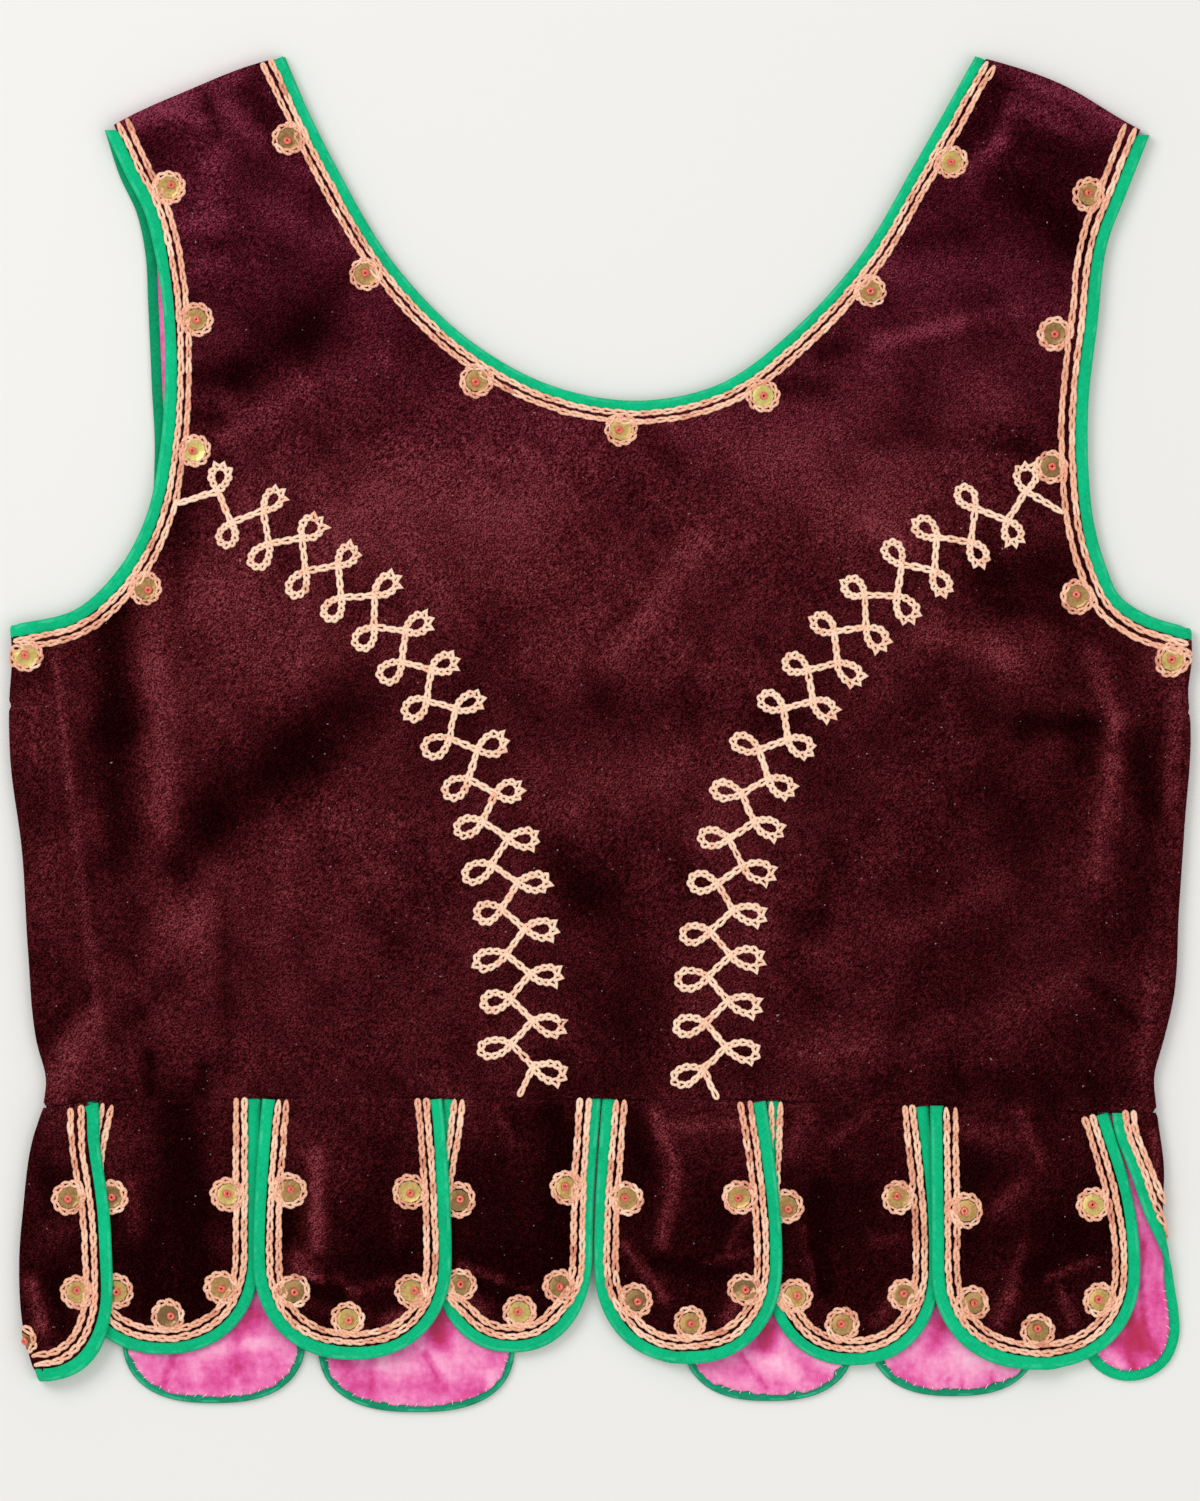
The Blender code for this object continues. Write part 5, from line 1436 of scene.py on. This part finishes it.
ringed_places = []
shown_left = armholes["left"][armholes["left"][:, 0] > -FOLD_ARC]
shown_right = armholes["right"][armholes["right"][:, 0] > -FOLD_ARC]
shown_side_tab = left_tab_edge[left_tab_edge[:, 0] > -FOLD_ARC]
for group, place, edge, rows, seam in (
        ("neck", upper, neck, NECK_ROWS, None),
        ("armhole_left", left_wound, shown_left, LEFT_ARMHOLE_ROWS, None),
        ("armhole_right", right_wound, shown_right, RIGHT_ARMHOLE_ROWS, None),
        ("side_tab_left", left_tab_place, shown_side_tab, SIDE_TAB_ROWS, left_top_at),
        *((tab.name, tab_places[tab.name], tab_edges[tab.name], TAB_ROWS, waist_at)
          for tab in BACK_TABS)):
    spots = np.array(ROSETTES[group])
    if isinstance(place, Wound):
        spots = place.flat(spots, 1)
    nearer = nearer_by(group, edge)
    inner_row, middles = ringed(edge, rows, nearer, spots, seam)
    first_row = even(row_line(edge, rows.first - nearer, seam), rows.stitch)
    sew(f"stitches_{group}", place, [chain(first_row, FIRST_SHADE),
                                     chain(inner_row, SECOND_SHADE)], rows.strand, rows.loop_half)
    ringed_places.append((group, place, middles))
shown = right_tab_edge[right_tab_edge[:, 0] > TWIST_MIDDLE]
sew("stitches_side_tab_right", right_tab_place,
    [chain(even(inset(shown, row), TURNED_TAB_ROWS.stitch), FIRST_SHADE)
     for row in (TURNED_TAB_ROWS.first, TURNED_TAB_ROWS.second)],
    TURNED_TAB_ROWS.strand, TURNED_TAB_ROWS.loop_half)


# ------------------------------
# The felling: small slanting stitches in pale pink cotton, which hold the edge of each
# lining down on its binding.
# ------------------------------

FELLING_PITCH = 3.4
FELLING_LONG = 1.7
FELLING_SLANT = 0.5
UNEVEN_SLANT, UNEVEN_FELLING = 0.3, 0.2
FELLING_SUNK = 0.9          # of a stitch's ends, which go down into the cloth
FELLING_STRAND = 0.17
THREAD_ABOVE = 0.1          # of its middle above the satin
FELLING_BENDS = 5
FELLING_SIDES = 5


def pale_finish():
    """Pale pink sewing cotton, a little uneven."""
    material, shader, place = new_finish("pale_pink_thread", 0.65, Specular_IOR_Level=0.3)
    feed(shader, "Base Color", place.noise(700.0).mix((0.86, 0.50, 0.62), (0.97, 0.76, 0.80)))
    return material


pale = pale_finish()


def fell(name, place, edge, hem, above):
    """Small stitches across the edge of a lining, which lies `hem` inside a bound edge."""
    line = even(inset(edge, hem), FELLING_PITCH)[1:-1]
    run = heading(line)
    count = len(line)
    slant = FELLING_SLANT + UNEVEN_SLANT * draw.normal(size=(count, 1))
    aim = leftward(run) + run * slant
    part = np.linspace(-0.5, 0.5, FELLING_BENDS)
    long = FELLING_LONG * (1 + UNEVEN_FELLING * draw.normal(size=(count, 1)))
    spot = line[:, None] + aim[:, None] * (long * part)[..., None]
    u, v = spot[..., 0], spot[..., 1]
    up = place.normals(u, v) * np.sign(above)
    middle = place.points(u, v) + up * (abs(above) - FELLING_SUNK * (2 * part[:, None]) ** 4)
    beside_it = np.cross(unit(np.gradient(middle, axis=1)), up)
    rings = rings_round(middle, FELLING_STRAND * beside_it, FELLING_STRAND * up, FELLING_SIDES)
    rings = rings[rings[..., 2].min(axis=(1, 2)) > 0]
    size = FELLING_BENDS * FELLING_SIDES
    stitch = tube_faces(FELLING_BENDS, FELLING_SIDES, closed=False, capped=True)
    trims.append(make_piece(name, rings.reshape(-1, 3), repeated(stitch, size, len(rings)), pale,
                            "thread"))


on_satin = LINING_STEP + THIN_WALL / 2 + THREAD_ABOVE
for tab in FRONT_TABS:
    fell(f"felling_{tab.name}", lower, tab_edges[tab.name], FELLED + 0.2, on_satin + FELLED_RISE)
turned_up = right_tab_edge[right_tab_edge[:, 0] < TWIST_MIDDLE]
fell("felling_side_tab_right", right_tab_place, turned_up, raw_edge + 0.4, -on_satin)


# ------------------------------
# The two trails of chain stitch on the back, from the armholes to the waist. Each goes from
# side to side of its line, and turns round a small loop at every corner. The stitches at
# the ends of the loops on the right are drawn out to small points.
# ------------------------------

TRAIL_STITCH = 4.1
TRAIL_STRAND = 0.62
TRAIL_LOOP_HALF = 0.85
LOOP_STITCHES = 10
LOOP_END = 4                # its stitch that is furthest out
SPIKE = 1.25
LEFT_SPIKES, LEFT_SPIKE = 0.3, SPIKE * 0.7    # of the loops on the left, and how far
UNEVEN_LONG, UNEVEN_WIDE, UNEVEN_LEAN, UNEVEN_SPIKE = 0.05, 0.07, 0.06, 0.3
LOOP_DRAWN = 80             # points of a loop's line
LOOP_FULL, LOOP_TAPER = 0.62, 0.8
# At the top, the middle and the end of a trail
TRAIL_PARTS = (0.0, 0.45, 1.0)
CORNER_HALF = (5.0, 3.7, 4.1)     # from the trail's line to a corner
LOOP_LONG = (9.2, 9.6, 11.2)
LOOP_WIDE = (6.3, 6.4, 6.5)
LOOP_LEAN = (0.08, 0.10, 0.19)    # of a loop down from the trail's own square
Trail = namedtuple("Trail", "name loops first_out line")
TRAILS = [
    Trail("left", 31, 1, (
        (-158.8, 86.4), (-143.1, 86.1), (-125.4, 77.8), (-110.8, 66.9), (-95.1, 55.3), (-82.3, 43.7),
        (-71.4, 29.4), (-61.7, 14.4), (-52.7, -0.9), (-45.6, -16.3), (-40.7, -30.6), (-37.3, -45.9),
        (-33.6, -62.4), (-31.7, -78.9), (-29.8, -96.9), (-29.4, -113.1), (-29.1, -122.1),
        (-30.2, -134.8))),
    Trail("right", 31, -1, (
        (173.1, 83.1), (155.8, 86.1), (137.8, 77.4), (123.2, 65.4), (107.8, 54.6), (94.3, 40.3),
        (83.8, 26.4), (74.8, 12.2), (65.4, -2.4), (58.3, -18.2), (53.8, -32.4), (50.1, -46.7),
        (45.6, -66.2), (44.8, -81.2), (43.7, -99.6), (42.9, -116.1), (42.6, -123.9), (43.3, -135.9)))]
TRAIL_STEP = 0.5
TRAIL_START = 14.5          # along the line to the first corner
TRAIL_END = 10.5            # from the last corner to the waist


def trail_chain(trail):
    """The stitches of a trail, corner by corner with the loop that each is drawn into."""
    line = smooth(trail.line, TRAIL_STEP)
    along = np.arange(len(line)) * TRAIL_STEP
    stops = np.linspace(TRAIL_START, along[-1] - TRAIL_END, trail.loops)
    knots = [line[0]]
    spikes = []
    for n, stop in enumerate(stops):
        part = n / (trail.loops - 1)
        half, long, wide, lean = (np.interp(part, TRAIL_PARTS, sizes) for sizes in
                                  (CORNER_HALF, LOOP_LONG, LOOP_WIDE, LOOP_LEAN))
        spot, beyond = (np.array([np.interp(s, along, line[:, axis]) for axis in (0, 1)])
                        for s in (stop, stop + 1.0))
        ahead = (beyond - spot) / np.linalg.norm(beyond - spot)
        out = trail.first_out * (-1) ** n
        outward = np.array([-ahead[1], ahead[0]]) * out
        spot = spot + outward * half
        long = long * (1 + UNEVEN_LONG * draw.normal())
        wide = wide * (1 + UNEVEN_WIDE * draw.normal())
        lean = lean + UNEVEN_LEAN * draw.normal()
        axis_out = outward * math.cos(lean) + ahead * math.sin(lean)
        axis_side = np.array([-axis_out[1], axis_out[0]]) * out
        turn = np.linspace(0.0, 2 * math.pi, LOOP_DRAWN)
        x = long * (1 - np.cos(turn)) / 2
        y = wide * LOOP_FULL * np.sin(turn) * np.sin(turn / 2) ** LOOP_TAPER
        loop = spot + x[:, None] * axis_out - y[:, None] * axis_side
        leg = even(np.array([knots[-1], spot]), TRAIL_STITCH)
        step = np.sum(np.linalg.norm(np.diff(loop, axis=0), axis=1)) / LOOP_STITCHES
        turned = even(loop, step)
        knots.extend([*leg[1:], *turned[1:]])
        pointed = np.zeros(len(turned) - 1)
        if outward[0] > 0:
            pointed[LOOP_END - 1:LOOP_END + 2] = SPIKE * (1 + UNEVEN_SPIKE * draw.normal(size=3))
        elif draw.uniform() < LEFT_SPIKES:
            pointed[LOOP_END] = LEFT_SPIKE
        spikes.extend([*np.zeros(len(leg) - 1), *np.maximum(pointed, 0.0)])
    leg = even(np.array([knots[-1], line[-1]]), TRAIL_STITCH)
    knots.extend(leg[1:])
    spikes.extend(np.zeros(len(leg) - 1))
    return chain(np.array(knots), TRAIL_SHADE, np.array(spikes))


for trail in TRAILS:
    sew(f"trail_{trail.name}", upper, [trail_chain(trail)], TRAIL_STRAND, TRAIL_LOOP_HALF)


# ------------------------------
# The rosettes: a cupped sequin of olive plastic in each ring of the inner row, held down by
# a coral glass bead. The ring's stitches lie over the sequin's rim.
# ------------------------------

SEQUIN_FACETS = 10
SEQUIN_PROFILE = ((0.45, 0.16), (1.9, 0.10), (3.1, 0.22), (4.1, 0.42))    # radius, height
SEQUIN_HEIGHT = 1.50        # of its underside above the middle of the cloth
SEQUIN_TIP = 0.05
SEQUIN_TINT, UNEVEN_SEQUIN = 0.45, 0.25
BEAD_RADIUS = 0.95          # of the circle through the middle of its glass
BEAD_HALF = 0.62
BEAD_TALL = 1.1             # height of its glass, of its width
BEAD_ROUND, BEAD_SIDES = 8, 12
BEAD_TIP = 0.25
ASLANT = 0.2                # of the line from which its turn is measured
BEAD_LOOSE = 0.45           # from the middle of its ring, as it hangs on its thread
BEAD_HEIGHT = 2.30
BEAD_FROM_FOLD = 1.4        # along the cloth, where its thread draws it up from the side


def sequin_finish():
    """Olive-gold plastic with a metal film: it shows green where it turns from the light."""
    material, shader, place = new_finish("olive_sequin", 0.28, Specular_IOR_Level=0.6)
    # patchy: patches where the metal film is worn, paler, less metallic and rougher
    patchy = place.noise(900.0, 3.0)
    tone = (place.attribute("tint") * 0.8 + patchy * 0.4).between(0.1, 1.1)
    feed(shader, "Base Color", tone.ramp((0.0, (0.20, 0.115, 0.037)), (0.45, (0.46, 0.27, 0.085)),
                                         (0.75, (0.59, 0.41, 0.125)), (1.0, (0.66, 0.58, 0.17))))
    feed(shader, "Metallic", patchy.between(0.3, 0.7, 0.75, 0.35))
    feed(shader, "Roughness", patchy.between(0.2, 0.9, 0.22, 0.42))
    return material


def bead_finish():
    """Coral-red glass, glossy, with paler patches painted for the light that goes through it."""
    material, shader, place = new_finish("coral_bead", 0.12, Specular_IOR_Level=0.6,
                                         Coat_Weight=0.5, Coat_Roughness=0.05)
    mottling = place.noise(900.0, 2.0)
    # Paler patches: painted light that goes through the glass.
    feed(shader, "Base Color", mottling.between(0.3, 0.7).mix((0.62, 0.060, 0.045),
                                                            (0.86, 0.16, 0.10)))
    return material


olive, coral = sequin_finish(), bead_finish()


def turned_profile(profile, sides, closed=False):
    """Points and faces of a profile (radius, height) turned round an upright axis."""
    turn = np.arange(sides) * 2 * math.pi / sides
    points = [(radius * math.cos(t), radius * math.sin(t), height)
              for radius, height in profile for t in turn]
    return np.array(points), tube_faces(len(profile), sides, closed)


bead_turn = np.linspace(0.0, 2 * math.pi, BEAD_ROUND + 1)[:-1]
bead_shape = turned_profile([(BEAD_RADIUS + BEAD_HALF * math.cos(t),
                              BEAD_HALF * BEAD_TALL * math.sin(t)) for t in bead_turn],
                            BEAD_SIDES, closed=True)


def lie(place, spots, shape, height):
    """Copies of a shape laid on the cloth at each spot, tipped a little, and bent as the cloth
    is: (points, faces)."""
    points, faces = shape
    laid = []
    for u, v in spots:
        turn = draw.uniform(0.0, 2 * math.pi)
        tip = SEQUIN_TIP * draw.normal(size=2)
        x = u + points[:, 0] * math.cos(turn) - points[:, 1] * math.sin(turn)
        y = v + points[:, 0] * math.sin(turn) + points[:, 1] * math.cos(turn)
        up = height + points[:, 2] + points[:, :2] @ tip
        laid.append(place.points(x, y) + place.normals(x, y) * up[:, None])
    laid = np.vstack(laid)
    laid[:, 2] = np.maximum(laid[:, 2], FLOOR_GAP)
    return laid, repeated(faces, len(points), len(spots))


def stand(place, spots, shape, height):
    """Copies of a stiff shape, one above each spot on the cloth: (points, faces)."""
    points, faces = shape
    placed = []
    for u, v in spots:
        u, v = np.array([u]), np.array([v])
        normal = place.normals(u, v)[0]
        middle = place.points(u, v)[0] + normal * height
        normal = unit(normal + BEAD_TIP * draw.normal(size=3))
        turn = draw.uniform(0.0, 2 * math.pi)
        first = unit(np.cross(normal, (math.cos(turn), math.sin(turn), ASLANT)))
        placed.append(middle + points @ np.array((first, np.cross(normal, first), normal)))
    return np.vstack(placed), repeated(faces, len(points), len(spots))


for group, place, middles in ringed_places:
    cups, faces = lie(place, middles, turned_profile(SEQUIN_PROFILE, SEQUIN_FACETS),
                      SEQUIN_HEIGHT)
    tints = np.repeat(SEQUIN_TINT + UNEVEN_SEQUIN * draw.normal(size=len(middles)),
                      SEQUIN_FACETS * len(SEQUIN_PROFILE))
    piece = make_piece(f"sequins_{group}", cups, faces, olive, "sequin", tint=tints)
    piece.data.shade_flat()
    trims.append(piece)
    threaded = middles + BEAD_LOOSE * draw.normal(size=middles.shape)
    if isinstance(place, Wound):
        threaded[:, 0] = np.maximum(threaded[:, 0], BEAD_FROM_FOLD)
    glass, faces = stand(place, threaded, bead_shape, BEAD_HEIGHT)
    trims.append(make_piece(f"beads_{group}", glass, faces, coral, "bead"))


# ------------------------------
# Where it lies: a plain pale table under soft studio light, seen from straight above.
# ------------------------------

def table_finish():
    material, shader, place = new_finish("pale_table", 0.85)
    mottling = place.noise(2.0, 2.0)
    feed(shader, "Base Color", mottling.mix((0.765, 0.76, 0.745), (0.79, 0.785, 0.77)))
    return material


table_mesh = bpy.data.meshes.new("table")
table_mesh.from_pydata([(-4, -4, 0), (4, -4, 0), (4, 4, 0), (-4, 4, 0)], [], [(0, 1, 2, 3)])
table_mesh.materials.append(table_finish())
table = bpy.data.objects.new("table", table_mesh)
bpy.context.scene.collection.objects.link(table)
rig.stage(table)

bpy.context.scene.view_settings.view_transform = "Standard"
world = bpy.data.worlds.new("studio")
world.use_nodes = True
world.node_tree.nodes["Background"].inputs["Color"].default_value = (1.0, 0.99, 0.97, 1.0)
world.node_tree.nodes["Background"].inputs["Strength"].default_value = 0.74
bpy.context.scene.world = world


def soft_box(name, place, size, power):
    """A square soft light that faces the middle of the table."""
    light = bpy.data.lights.new(name, "AREA")
    light.size = size
    light.energy = power
    lamp = bpy.data.objects.new(name, light)
    lamp.location = place
    lamp.rotation_euler = (-Vector(place)).to_track_quat("-Z", "Y").to_euler()
    bpy.context.scene.collection.objects.link(lamp)


soft_box("window_light", (-1.5, 1.2, 1.9), 1.4, 29.0)
soft_box("fill_light", (1.8, -0.9, 2.2), 2.0, 17.0)

CAMERA_HEIGHT = 4.0
VIEW_MIDDLE = (-0.0002, -0.006)
VIEW_HEIGHT = 0.5629
SENSOR = 36.0
lens = bpy.data.cameras.new("camera")
lens.sensor_fit = "VERTICAL"
lens.sensor_height = SENSOR
lens.lens = SENSOR * CAMERA_HEIGHT / VIEW_HEIGHT
camera = bpy.data.objects.new("camera", lens)
camera.location = (*VIEW_MIDDLE, CAMERA_HEIGHT)
bpy.context.scene.collection.objects.link(camera)
bpy.context.scene.camera = camera


# ------------------------------
# How the cloth lies. Each piece was cut flat, and is laid on the table or on the fronts,
# with its bindings, stitches and rosettes sewn to it.
# ------------------------------

SEWN_TO_BACK = ("neck", "trail", "armhole")
for piece, edge in sheets:
    own = piece.name.rsplit("_", 1)[0]
    satin_faced = any(f"{own}_satin" == other.name for other, _ in sheets)
    trimmed = not satin_faced or piece.name.endswith("_satin")
    sewn = [trim for trim in trims if trimmed and own in trim.name]
    if piece is back:
        sewn = [trim for trim in trims if any(word in trim.name for word in SEWN_TO_BACK)]
    below = "table" if piece.name.startswith("front") else ("front_left_satin", "front_right_cloth")
    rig.sheet(piece, held="laid", rests_on=below, with_pieces=sewn, **cut_size(edge))

sizes = {"cad": [list(end) for end in cad_box],
         "visual": [list(end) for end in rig.bounds()]}
with open("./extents.json", "w") as file:
    json.dump(sizes, file)
